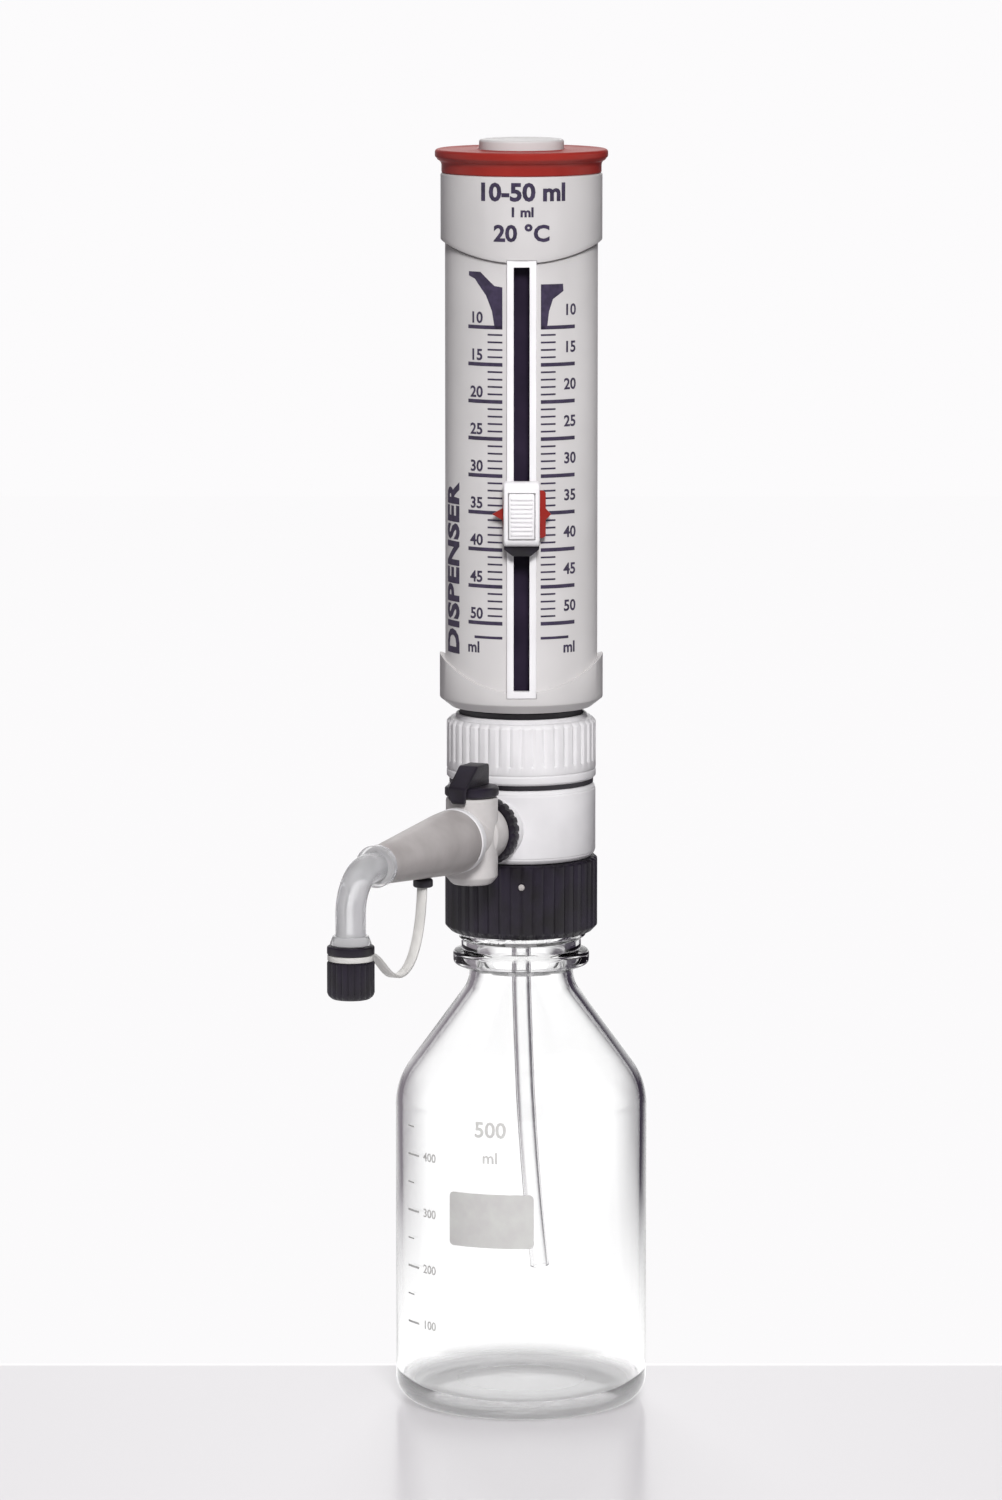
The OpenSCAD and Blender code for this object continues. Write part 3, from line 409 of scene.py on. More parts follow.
# pale table in front, bright paper behind its edge; lengths in metres, spans go from one place to another
table = {"halfSize": (1.6, 2.25), "centreY": 0.75, "edge": 0.047, "edgeBlur": 0.002, "tone": "#9C9A9C",
         "glow": "#9B999B", "paperTone": "#050505", "paperGlow": "#FBFAFB", "shine": 0.4, "flagSlope": -0.16,
         "flagFade": (-0.03, 0.18), "flagDepth": (0.06, 0.3), "nearGlow": 0.85, "nearSpan": (0.0, 0.05),
         # the next keys set a painted contact shadow round the bottle's foot and a painted brighter glow under its base
         "glowOnPlastic": 0.02, "footShadowRing": (0.033, 0.036), "underFootGlowSpan": (0.028, 0.031), "footShadowTone": 0.6,
         "underFootGlow": 1.5}
floorMesh = bmesh.new()
bmesh.ops.create_grid(floorMesh, x_segments=2, y_segments=2, size=1)
bmesh.ops.scale(floorMesh, vec=(*table["halfSize"], 1), verts=floorMesh.verts)
bmesh.ops.translate(floorMesh, vec=(0, table["centreY"], 0), verts=floorMesh.verts)
floorData = toMesh(floorMesh, "tableTop")
tableTop = addObject("tableTop", floorData)
floorMaterial, floorTree, floorSurface, floorPlace = startMaterial("whiteLaminate", {"Roughness": 0.2, "IOR": 1.4})
spread = addNode(floorTree, "ShaderNodeSeparateXYZ", {"Vector": floorPlace}).outputs
behind = rangeOf(floorTree, spread["Y"], table["edge"] - table["edgeBlur"], table["edge"] + table["edgeBlur"])
tableTone = rampOf(floorTree, behind, (0.0, table["tone"]), (1.0, table["paperTone"]))
tableGlow = rampOf(floorTree, behind, (0.0, table["glow"]), (1.0, table["paperGlow"]))
tableShine = rangeOf(floorTree, behind, 0.0, 1.0, table["shine"], 0.0)
# what the glass shows of the table: paler in front, and flagged far behind
flagLine = mathOf(floorTree, "MULTIPLY_ADD", spread["Y"], table["flagSlope"],
                  mathOf(floorTree, "ABSOLUTE", spread["X"]))
flagged = mathOf(floorTree, "MULTIPLY", rangeOf(floorTree, flagLine, *table["flagFade"]),
                 rangeOf(floorTree, spread["Y"], *table["flagDepth"]))
hitBy = addNode(floorTree, "ShaderNodeLightPath").outputs
glow = mixOf(floorTree, "RGBA", hitBy["Is Camera Ray"], paperAndFlags(floorTree, spread["X"], flagged), tableGlow)
# painted contact shadow: the table's glow dims in a ring where the bottle stands, and painted light makes it brighter
# under the base; only rays that are neither camera nor diffuse rays see them
fromAxis = addNode(floorTree, "ShaderNodeVectorMath", {"operation": "LENGTH", 0: floorPlace}).outputs["Value"]
footShadowAndGlow = mathOf(floorTree, "MAXIMUM", rangeOf(floorTree, fromAxis, *table["footShadowRing"], table["footShadowTone"], 1.0),
                  rangeOf(floorTree, fromAxis, *table["underFootGlowSpan"], table["underFootGlow"], table["footShadowTone"]))
toGlass = mathOf(floorTree, "MULTIPLY", rangeOf(floorTree, spread["Y"], *table["nearSpan"], table["nearGlow"],
                                                studio["paperGlow"]), footShadowAndGlow)
# the plastics above the table get little light from it
unseenGlow = mixOf(floorTree, "FLOAT", hitBy["Is Diffuse Ray"], toGlass, table["glowOnPlastic"])
glowStrength = mixOf(floorTree, "FLOAT", hitBy["Is Camera Ray"], unseenGlow, 1.0)
for key, source in (("Base Color", tableTone), ("Emission Color", glow), ("Emission Strength", glowStrength),
                    ("Specular IOR Level", tableShine)):
    floorTree.links.new(source, floorSurface.inputs[key])
floorData.materials.append(floorMaterial)
print("camera, light and floor made")


# finishes of the parts

# polypropylene, moulded: soft white and satin, with a little light in it
whitePolypropylene = mouldedPlastic("whitePolypropyleneMoulded", {
    "dark": "#DCDADC", "light": "#E6E4E6", "gloss": (0.3, 0.4), "glow": 0.06, "relief": 0.2})
# white acetal of the slider and its rails: the brightest white, silky
whiteAcetal = mouldedPlastic("whiteAcetalMoulded", {
    "dark": "#EAE8EA", "light": "#F1EFF1", "gloss": (0.32, 0.42), "relief": 0.15})
# glass-filled nylon, moulded: near black with a violet cast and a fine dull grain
blackNylon = mouldedPlastic("blackGlassFilledNylon", {
    "dark": "#161317", "light": "#201B27", "gloss": (0.34, 0.5), "grainSize": 0.35, "relief": 0.45, "driftSize": 9,
    "shine": 0.32})
# copolymer of the scale sleeve: pale warm grey, a shade duller than the white parts
greyPolypropylene = mouldedPlastic("greySleeveMoulded", {
    "dark": "#C6C3C3", "light": "#CFCCCC", "gloss": (0.36, 0.46), "glow": 0.05, "relief": 0.2, "driftSize": 40})
# dark red polypropylene of the cap and the pointer
redPolypropylene = mouldedPlastic("redPolypropyleneMoulded", {
    "dark": "#8B2620", "light": "#962D26", "gloss": (0.34, 0.44), "relief": 0.25, "shine": 0.25})
# grey fluoropolymer of the nozzle housing: duller and a little waxy
greyFluoropolymer = mouldedPlastic("greyFluoropolymerMoulded", {
    "dark": "#A39D9C", "light": "#B3AEAD", "gloss": (0.38, 0.5), "glow": 0.06, "ior": 1.4, "relief": 0.3,
    "driftSize": 12})
# natural polypropylene of the stopcock: whitish grey that lets light in
naturalPolypropylene = mouldedPlastic("naturalPolypropyleneMoulded", {
    "dark": "#C6C2C1", "light": "#D3CFCE", "gloss": (0.28, 0.4), "glow": 0.12, "relief": 0.2, "driftSize": 10})
# black acetal of the cage behind the slot: smooth and slightly violet
blackAcetal = mouldedPlastic("blackAcetalMoulded", {
    "dark": "#241E2C", "light": "#302839", "gloss": (0.5, 0.6), "relief": 0.15, "shine": 0.12})
# nitrile rubber of the rings: black and dull
nitrileRubber = mouldedPlastic("nitrileRubberMoulded", {
    "dark": "#1B181D", "light": "#232026", "gloss": (0.5, 0.65), "relief": 0.3, "ior": 1.52})
# polyethylene of the strap: milky and flexible
softPolyethylene = mouldedPlastic("softPolyethyleneMoulded", {
    "dark": "#CFCDCA", "light": "#DCDAD7", "gloss": (0.35, 0.5), "glow": 0.2, "relief": 0.2, "driftSize": 8})
# turned fluoropolymer of valve seats and piston: chalky white
turnedFluoropolymer = mouldedPlastic("turnedFluoropolymer", {
    "dark": "#E4E3E2", "light": "#EDECEB", "gloss": (0.4, 0.55), "glow": 0.15, "ior": 1.36, "relief": 0.2})
# ground and polished ceramic of the valve balls
polishedCeramic = mouldedPlastic("polishedCeramic", {
    "dark": "#E6E0D0", "light": "#EFEADC", "gloss": (0.08, 0.14), "ior": 1.75, "relief": 0.05})
# screen-printed ink of the scale: indigo, flat, a little uneven where it was thin
printInk = mouldedPlastic("indigoScreenPrint", {
    "dark": "#2B2438", "light": "#3A3149", "gloss": (0.5, 0.62), "driftSize": 2.5, "relief": 0.2})
# fired enamel of the bottle's scale and writing field: white, matt like fine sandpaper
firedEnamel = mouldedPlastic("whiteFiredEnamel", {
    "dark": "#D3D1D0", "light": "#DADAD7", "gloss": (0.7, 0.85), "grainSize": 0.3, "relief": 0.5, "driftSize": 6})
# blown borosilicate glass: clear, its walls wave a little, and its foot is scuffed to a light frost
borosilicate = clearSolid("borosilicateBlown", {
    "colour": "#FDFDFD", "ior": 1.473, "roughness": 0.0, "waveSize": 24, "relief": 0.25, "frostTop": 11,
    "frostClear": 0.4})
# precision-drawn glass of the measuring barrel
drawnGlass = clearSolid("borosilicateDrawn", {
    "colour": "#F4F7F7", "ior": 1.473, "roughness": 0.01, "waveSize": 40, "relief": 0.05})
# extruded fluoropolymer tube: clear with a milky breath
extrudedTube = clearSolid("clearFluoropolymerExtruded", {
    "colour": "#FDFDFE", "ior": 1.344, "roughness": 0.04, "clear": 0.72, "waveSize": 6, "relief": 0.2})
# thinner tube inside the bottle: nothing of it shows but its edges
immersedTube = clearSolid("clearFluoropolymerThin", {
    "colour": "#FDFDFD", "ior": 1.344, "roughness": 0.0, "waveSize": 12, "relief": 0.1})

# stainless steel, turned: bright with fine rings
turnedSteel, steelTree, steelSurface, steelPlace = startMaterial("stainlessSteelTurned", {
    "Base Color": fromHex("#B9B7B4"), "Metallic": 1.0, "Roughness": 0.28})
steelRings = addNode(steelTree, "ShaderNodeTexWave", {"Vector": steelPlace, "Scale": perMetre(1.2), "Distortion": 1.0})
addRelief(steelTree, steelSurface, steelRings.outputs["Fac"], 0.15, 0.02)

finishOfSlot = {
    "borosilicate_glass": borosilicate, "barrel_glass": drawnGlass, "clear_fluoropolymer": extrudedTube,
    "black_plastic": blackNylon, "white_plastic": whitePolypropylene, "sleeve_plastic": greyPolypropylene,
    "red_plastic": redPolypropylene, "grey_plastic": greyFluoropolymer, "tap_plastic": naturalPolypropylene,
    "cage_plastic": blackAcetal, "valve_plastic": turnedFluoropolymer, "ceramic": polishedCeramic,
    "steel": turnedSteel, "seal_rubber": nitrileRubber, "strap_plastic": softPolyethylene,
    "rod_plastic": turnedFluoropolymer}
for part in frame["record"]["subparts"]:
    slots = nodes[part["node"]].data.materials
    slots.clear()
    slots.append(immersedTube if part["node"] == "suction_tube" else finishOfSlot[part["material_slot"]])
print("finishes made")


# bottle

bottleShape = {
    "radius": 43, "bodyTop": 103, "shoulder": 24, "lean": 36, "waist": 17.8, "fillet": 10, "wall": 2.2, "steps": 192,
    "foot": [(0, 2.2), (18, 1.9), (27, 1.1), (32.4, 0.3), (34.2, 0)] + arcPoints((35, 8), 8, -88, 0, 12),
    "ring": [(17.8, 149.8)] + arcPoints((21.8, 153.1), 1.5, -60, 0, 4) + arcPoints((21.8, 155.1), 1.5, 0, 80, 5),
    "neck": [(20.5, 157.2)] + [(20.5, 158.2 + 0.4 * i) for i in range(40)] + arcPoints((20.6, 175.2), 0.8, 0, 90, 4),
    "mouth": [(15.9, 176)] + arcPoints((16, 175), 1, 120, 180, 3) + [(15, 152.6)],
    "inside": arcPoints((33.9, 11.2), 6.9, 0, -84, 9) + [(24, 4.7), (12, 5.2), (0, 5.4)]}


def bottleWall(inset):
    # shoulder and waist of the bottle, or of its inside when inset is the glass wall
    lean = bottleShape["lean"]
    shoulder = arcPoints((bottleShape["radius"] - bottleShape["shoulder"], bottleShape["bodyTop"]),
                         bottleShape["shoulder"] - inset, 0, lean, 16)
    waist, fillet = bottleShape["waist"] - inset, bottleShape["fillet"] + inset
    rise = (shoulder[-1][0] - waist) / math.tan(math.radians(lean)) + fillet * math.tan(math.radians(lean / 2))
    return shoulder + arcPoints((waist + fillet, shoulder[-1][1] + rise), fillet, 180 + lean, 180, 8)


bottle = spinProfile(bottleShape["foot"] + bottleWall(0) + bottleShape["ring"] + bottleShape["neck"]
                     + bottleShape["mouth"] + bottleWall(bottleShape["wall"])[::-1] + bottleShape["inside"],
                     bottleShape["steps"])
# the screw thread: one ridge that climbs round the neck and fades at both ends
thread = {"depth": 1.6, "pitch": 4, "low": 160.2, "high": 173.4, "fade": 1.5, "crest": 2.6, "flank": 9, "outside": 19}
for vert in bottle.verts:
    z = vert.co.z / mm
    radius = math.hypot(vert.co.x, vert.co.y) / mm
    if thread["low"] < z < thread["high"] and radius > thread["outside"]:
        phase = ((z - thread["low"]) / thread["pitch"] - math.atan2(vert.co.y, vert.co.x) / math.tau) % 1
        ridge = min(1, max(0, thread["crest"] - abs(phase - 0.5) * thread["flank"]))
        fade = min(1, (z - thread["low"]) / thread["fade"], (thread["high"] - z) / thread["fade"])
        grow = 1 + ridge * fade * thread["depth"] / radius
        vert.co.x *= grow
        vert.co.y *= grow
finishPiece(bottle, "bottle_glass", borosilicate, "bottle", ["reagent_bottle"], smooth=50)

# its scale and writing field, fired on; the numbers are millilitres, x runs round the wall
fired = {"thick": 0.08, "lift": 0.03, "marks": (100, 200, 300, 400), "firstLevel": 31, "levelStep": 19.4, "x": -44,
         "long": (7, 0.7), "short": (4, 0.5), "shortShift": -1.5, "numberSize": 4.2, "numberShift": (9, 0.1),
         "numberBold": 0.06, "fieldX": -10.8, "fieldLevel": 70, "field": (30, 18.5), "fieldCorner": 1.6,
         "volume": {"size": 7.5, "z": 101, "bold": 0.15}, "unit": {"size": 5.6, "z": 91.5, "bold": 0.08},
         "slices": (-49, 6, 1.0)}
enamel = bmesh.new()
addBlock(enamel, (fired["field"][0], fired["thick"], fired["field"][1]), (fired["fieldX"], 0, fired["fieldLevel"]))
corners = [e for e in enamel.edges if abs(e.verts[0].co.y - e.verts[1].co.y) > 1e-5]
roundEdges(enamel, corners, fired["fieldCorner"], 5)
for step, volume in enumerate(fired["marks"]):
    level = fired["firstLevel"] + step * fired["levelStep"]
    for (length, width), shift, lift in ((fired["long"], 0, 0), (fired["short"], fired["shortShift"], 0.5)):
        addBlock(enamel, (length, fired["thick"], width), (fired["x"] + shift, 0, level + lift * fired["levelStep"]))
    addWords(enamel, str(volume), fired["numberSize"], fired["x"] + fired["numberShift"][0],
             level + fired["numberShift"][1], bold=fired["numberBold"])
addWords(enamel, "500", x=fired["fieldX"], **fired["volume"])
addWords(enamel, "ml", x=fired["fieldX"], **fired["unit"])
sliceUpright(enamel, *fired["slices"])
wrapRound(enamel, bottleShape["radius"] + fired["lift"])
finishPiece(enamel, "bottle_print", firedEnamel, "bottle")
print("bottle made")


# ribbed nuts and the head; outlines are lists of (radius, height)

bottleNut = {
    "radius": 26, "depth": 0.7, "ribs": 40, "land": 0.4, "from": 160, "to": 190, "soft": 0.3,
    "outline": [(24.05, 163.3), (25.3, 164.55), (26, 165.25), (26, 188.1), (25.3, 188.75), (25.05, 188.9),
                (17.05, 188.9), (17.05, 181.8), (22.6, 181.8), (22.6, 163.3)]}
nutWall = turnShape(bottleNut)
finishPiece(nutWall, "bottle_nut_shell", blackNylon, "nut", ["bottle_nut"])

# small moulded pip that marks the nut's front
pipShape = {"outline": [(0, 0), (1.1, 0), (1.0, 0.35), (0.6, 0.6), (0, 0.66)], "place": (0, -25.9, 181.7), "steps": 24}
pip = turnShape(pipShape, Matrix.Translation([p * mm for p in pipShape["place"]]) @ rotation(90, "X"))
finishPiece(pip, "nut_pip", greyFluoropolymer, "nut")

# drum of the valve head; fine lines run round it near both its edges
drumShape = {
    "soft": 0.25, "softFrom": 25, "steps": 160,
    "outline": [(0, 164), (4.7, 164), (5.5, 164.8), (5.5, 178), (21.8, 178), (21.8, 181.5), (17, 181.5), (17, 189.2),
                (23.9, 189.2), (25.05, 190.6), (25.05, 191.1), (25.3, 191.3), (25.3, 212.4), (25.05, 212.6),
                (25.05, 213.1), (24.1, 214.5), (20.5, 214.5), (20.5, 224.8), (0, 224.8)]}
drum = turnShape(drumShape)
finishPiece(drum, "head_drum", whitePolypropylene, "head", ["valve_head"])
bossShape = {"soft": 0.3, "outline": [(2.5, 14), (11.4, 14), (11.4, 25.5), (8, 25.5), (8, 27.4), (2.5, 27.4)]}
boss = turnShape(bossShape, alongOutlet)
finishPiece(boss, "outlet_boss", whitePolypropylene, "head")

# ribs above a plain band
clampNut = {
    "radius": 25.4, "depth": 0.6, "ribs": 40, "land": 0.45, "from": 222.4, "to": 240, "soft": 0.25,
    "outline": [(24.65, 216.1), (24.8, 216.25), (25.4, 216.85), (25.4, 218.9), (25.15, 219.1), (25.15, 219.5),
                (25.4, 219.7), (25.4, 222.2), (25.4, 222.7), (25.4, 235.35), (24.8, 235.95), (24.05, 236.7),
                (22.6, 236.7), (22.3, 237.0), (22.3, 237.9), (22.0, 238.2), (21.2, 238.2), (21.2, 236.7),
                (17.6, 236.7), (17.6, 232), (20.9, 232), (20.9, 216.1)]}
clampWall = turnShape(clampNut)
finishPiece(clampWall, "clamp_nut_shell", whitePolypropylene, "head", ["clamp_nut"])

# dark ring in the throat between nut and sleeve
throatShape = {"outline": [(20.1, 236.7), (20.3, 236.7), (20.8, 237.2), (20.8, 239.9), (20.3, 240.4),
                           (20.1, 240.4)]}
throatRing = turnShape(throatShape)
finishPiece(throatRing, "throat_ring", nitrileRubber, "head", ["damper_ring"])
print("nuts and head made")


# sleeve with its collars, slot and scale

sleeveShape = {
    "radius": 25.8, "steps": 240, "soft": 0.3, "softFrom": 28, "softOutside": 25.5, "wallOutside": 24,
    "lowEdge": 247.9, "lowCurve": 40.65, "topEdge": 392.7, "topCurve": 61.43, "edgeBelow": 0.9, "edgeAbove": 2,
    "outline": [(23.3, 240.7), (23.9, 240.7), (27.7, 243.7), (27.7, 245.2), (27.7, 247.9), (25.8, 247.9),
                (25.8, 392.2), (25.35, 392.3), (25.35, 392.7), (27.3, 392.7), (27.3, 394.6), (27.3, 421.1),
                (26.9, 421.5), (23.3, 421.5)],
    "slot": {"width": 7.0, "low": 247.64, "high": 392.16, "back": 18},
    "railPocket": {"width": 10.1, "low": 246.09, "high": 393.71, "back": 25.75}, "cutFront": 32}
sleeve = spinProfile(sleeveShape["outline"], sleeveShape["steps"])
softenEdges(sleeve, sleeveShape["soft"], fromAngle=sleeveShape["softFrom"],
            where=lambda e: math.hypot(e.verts[0].co.x, e.verts[0].co.y) > sleeveShape["softOutside"] * mm)
for vert in sleeve.verts:
    # the collars' edges rise towards the sides
    if math.hypot(vert.co.x, vert.co.y) < sleeveShape["wallOutside"] * mm:
        continue
    for edge, curve in ((sleeveShape["lowEdge"], sleeveShape["lowCurve"]),
                        (sleeveShape["topEdge"], sleeveShape["topCurve"])):
        if -sleeveShape["edgeBelow"] * mm < vert.co.z - edge * mm < sleeveShape["edgeAbove"] * mm:
            vert.co.z += curve * mm - math.sqrt((curve * mm) ** 2 - vert.co.x ** 2)
            break


def cutOut(piece, *boxes):
    # takes boxes (size, centre) out of a piece
    cutter = bmesh.new()
    for size, place in boxes:
        addBlock(cutter, size, place)
    data = toMesh(cutter, "cutter")
    tool = addObject("cutter", data)
    cut = piece.modifiers.new("cut", "BOOLEAN")
    cut.operation = "DIFFERENCE"
    cut.solver = "EXACT"
    cut.use_self = True
    cut.object = tool
    bpy.context.view_layer.update()
    result = bpy.data.meshes.new_from_object(piece.evaluated_get(bpy.context.evaluated_depsgraph_get()))
    old = piece.data
    piece.modifiers.clear()
    piece.data = result
    result.name = old.name
    bpy.data.meshes.remove(old)
    bpy.data.objects.remove(tool)
    bpy.data.meshes.remove(data)
    result.shade_smooth()
    result.set_sharp_from_angle(angle=math.radians(sharpFrom))


sleevePiece = finishPiece(sleeve, "sleeve_shell", greyPolypropylene, "sleeve", ["scale_sleeve"])
front = sleeveShape["cutFront"]
for gap in (sleeveShape["slot"], sleeveShape["railPocket"]):
    cutOut(sleevePiece, ((gap["width"], front - gap["back"], gap["high"] - gap["low"]),
                         (0, -(front + gap["back"]) / 2, (gap["low"] + gap["high"]) / 2)))

# white frame round the slot; outer and inner edges are (width, foot, top)
railShape = {"outer": (9.9, 246.19, 393.61), "inner": (5.3, 248.49, 391.31), "front": 26.8, "depth": 3.4, "soft": 0.22}
rails = bmesh.new()
loops = []
for width, bottom, top in (railShape["outer"], railShape["inner"]):
    square = [rails.verts.new((x * width / 2 * mm, -railShape["front"] * mm, z * mm))
              for x, z in ((-1, bottom), (1, bottom), (1, top), (-1, top))]
    loops += [rails.edges.new((square[i], square[(i + 1) % 4])) for i in range(4)]
bmesh.ops.bridge_loops(rails, edges=loops)
thickenFaces(rails, rails.faces[:], railShape["depth"])
bmesh.ops.recalc_face_normals(rails, faces=rails.faces)
softenEdges(rails, railShape["soft"], 3)
finishPiece(rails, "slot_rails", whiteAcetal, "sleeve", ["slot_liner"])

# the printed scale: a long line every 5 ml with its number, a short one every ml; x runs round the wall
scale = {"first": 10, "last": 50, "topLevel": 371.11, "perMl": 2.493, "inner": 6.5, "lift": 0.02,
         "long": (13.2, 1.25), "short": (5.3, 0.6), "numberSize": 5.2, "numberBold": 0.13,
         "leftNumber": (-16.2, 3.0), "rightNumber": (17.6, 5.6), "foot": (10.5, 0.9), "footX": 11.75,
         "footLevel": 266.5, "unit": (17.4, -3.6), "unitBold": 0.15, "slices": (-34, 20, 1.0)}
ink = bmesh.new()
for volume in range(scale["first"], scale["last"] + 1):
    level = scale["topLevel"] - (volume - scale["first"]) * scale["perMl"]
    major = volume % 5 == 0
    length, width = scale["long" if major else "short"]
    for side in (-1, 1):
        addBlock(ink, (length, inkThick, width), (side * (scale["inner"] + length / 2), 0, level))
    if major:
        for x, lift in (scale["leftNumber"], scale["rightNumber"]):
            addWords(ink, str(volume), scale["numberSize"], x, level + lift, bold=scale["numberBold"])
for side in (-1, 1):
    addBlock(ink, (scale["foot"][0], inkThick, scale["foot"][1]), (side * scale["footX"], 0, scale["footLevel"]))
    addWords(ink, "ml", scale["numberSize"], side * scale["unit"][0], scale["footLevel"] + scale["unit"][1],
             bold=scale["unitBold"])

# wedges beside the slot, which grow towards the larger stroke, and the words
sleeveWords = {
    "leftWedge": [(-6.5, 370.6), (-6.5, 384.6), (-9.3, 385.0), (-14.6, 389.6), (-19.4, 389.6), (-19.4, 388.2),
                  (-16.8, 387.2), (-12.4, 381.8), (-10.2, 376.6), (-9.2, 370.6)],
    "rightWedge": [(6.5, 370.6), (8.6, 370.6), (9.4, 376.6), (10.8, 380.6), (14.8, 383.2), (14.6, 385.6), (6.5, 385.6)],
    "words": [{"words": "10-50 ml", "size": 8.2, "x": 0, "z": 416.1, "bold": 0.3},
              {"words": "1 ml", "size": 4.4, "x": 0, "z": 409.6, "bold": 0.18},
              {"words": "20 °C", "size": 7.6, "x": 0, "z": 402.4, "bold": 0.25},
              {"words": "DISPENSER", "size": 11.6, "x": -28.4, "z": 288.4, "bold": 0.5, "turn": -90, "spread": 1.04}],
    "collarFrom": 397, "collarLift": 1.5}
for wedge in ("leftWedge", "rightWedge"):
    addOutline(ink, sleeveWords[wedge], -inkThick / 2, inkThick)
for line in sleeveWords["words"]:
    addWords(ink, **line)
bmesh.ops.recalc_face_normals(ink, faces=ink.faces)
sliceUpright(ink, *scale["slices"])
for vert in ink.verts:
    # the print on the top collar stands on its wider wall
    if vert.co.z > sleeveWords["collarFrom"] * mm:
        vert.co.y -= sleeveWords["collarLift"] * mm
wrapRound(ink, sleeveShape["radius"] + scale["lift"])
finishPiece(ink, "sleeve_print", printInk, "sleeve")
print("sleeve made")


# cap and disc

capShape = {"steps": 192, "outline": (
    [(14.45, 426), (0, 426), (0, 421.7), (22, 421.5), (26.6, 421.5), (27, 421.9), (27, 424.1)]
    + arcPoints((28.9, 424.1), 1.9, 180, 110, 6)[1:] + arcPoints((28.3, 427.4), 0.9, -60, 0, 4)
    + arcPoints((28.1, 428.4), 1.1, 0, 90, 6) + [(27.2, 429.2), (15.3, 429.2), (14.75, 429.5), (14.45, 429.2)])}
cap = turnShape(capShape)
finishPiece(cap, "cap_shell", redPolypropylene, "sleeve", ["red_cap"])
discShape = {"steps": 128, "outline": (
    [(0, 426), (14.3, 426)] + arcPoints((13.3, 431.8), 1, 0, 90, 6) + [(12.3, 432.75), (11.6, 432.4), (0, 432.35)])}
disc = turnShape(discShape)
finishPiece(disc, "cap_cover", greyPolypropylene, "sleeve", ["cap_disc"])
print("cap made")


# slider: grip, a black piece under it that is painted shadow, ribbed button, and the red plate with its two pointers

gripShape = {"size": (12.2, 5.7, 21.8), "place": (0, -30.15, 309.0), "nose": 2.6, "soft": 0.96, "softFrom": 60,
             "pocketSize": (9.2, 6, 15.8), "pocketPlace": (0, -33.0, 308.45)}
gripFront = gripShape["place"][1] - gripShape["size"][1] / 2
grip = bmesh.new()
addBlock(grip, gripShape["size"], gripShape["place"])
noses = [e for e in grip.edges if all(v.co.y < gripFront * mm + 1e-6 for v in e.verts)
         and abs(e.verts[0].co.z - e.verts[1].co.z) < 1e-6]
roundEdges(grip, noses, gripShape["nose"], 5)
softenEdges(grip, gripShape["soft"], 4, fromAngle=gripShape["softFrom"])
gripPiece = finishPiece(grip, "grip_block", whiteAcetal, "slider", ["slider_grip"])
cutOut(gripPiece, (gripShape["pocketSize"], gripShape["pocketPlace"]))

# painted shadow under the grip, built as a black piece: wide above, as narrow as the slot below
gripShadowShape = {"outline": [(-5.9, 298.0), (-5.9, 297.2), (-3.0, 294.9), (3.0, 294.9), (5.9, 297.2), (5.9, 298.0)],
             "front": -31.4, "thick": 4.1, "soft": 0.25}
foot = bmesh.new()
addOutline(foot, gripShadowShape["outline"], gripShadowShape["front"], gripShadowShape["thick"])
softenEdges(foot, gripShadowShape["soft"])
finishPiece(foot, "grip_painted_shadow", blackNylon, "slider")

buttonShape = {"size": (8.7, 2.3, 15.3), "place": (0, -32.75, 308.45), "soft": 0.5, "ribs": 9, "ribLow": 301.8,
               "ribSpan": 13.3, "ribSize": (7.3, 1.0), "ribShare": 0.55, "ribPlace": -33.9, "ribSoft": 0.22}
button = bmesh.new()
addBlock(button, buttonShape["size"], buttonShape["place"])
softenEdges(button, buttonShape["soft"], 3)
pitch = buttonShape["ribSpan"] / buttonShape["ribs"]
for i in range(buttonShape["ribs"]):
    rib = addBlock(button, (*buttonShape["ribSize"], pitch * buttonShape["ribShare"]),
                   (0, buttonShape["ribPlace"], buttonShape["ribLow"] + pitch * (i + 0.5)))
    roundEdges(button, [e for e in button.edges if e.verts[0] in rib], buttonShape["ribSoft"], 2)
finishPiece(button, "ribbed_button", whiteAcetal, "button", ["release_button"])

# a pointer on the left, a bar with a pointer on the right; heights are from the plate's middle
plateShape = {
    "front": -28.6, "thick": 1.4, "middle": 308.78, "soft": 0.2, "softFrom": 60,
    "outline": [(-9.9, 0), (-6.4, -2), (-6, -8), (7.3, -8), (8.1, -7.2), (8.1, -1.9), (9.9, 0), (8.1, 1.9), (8.1, 7.2),
                (7.3, 8), (-6, 8), (-6.4, 2)]}
plate = bmesh.new()
addOutline(plate, [(x, z + plateShape["middle"]) for x, z in plateShape["outline"]], plateShape["front"],
           plateShape["thick"])
softenEdges(plate, plateShape["soft"], fromAngle=plateShape["softFrom"])
finishPiece(plate, "pointer_red", redPolypropylene, "slider", ["pointer_plate"])
print("slider made")


# outlet: union nut, stopcock, nozzle housing; outlines along it are lists of (radius, distance)

outletNut = {"radius": 11.6, "depth": 0.6, "ribs": 24, "land": 0.4, "from": 0, "to": 60, "soft": 0.2,
             "outline": [(11.1, 25.8), (11.6, 26.3), (11.6, 29.5), (11.0, 30.1), (10.7, 30.4), (6.05, 30.4),
                         (6.05, 29.3), (8.35, 29.3), (8.35, 25.8)]}
unionWall = turnShape(outletNut, alongOutlet)
finishPiece(unionWall, "union_nut_shell", blackNylon, "head", ["outlet_nut"])

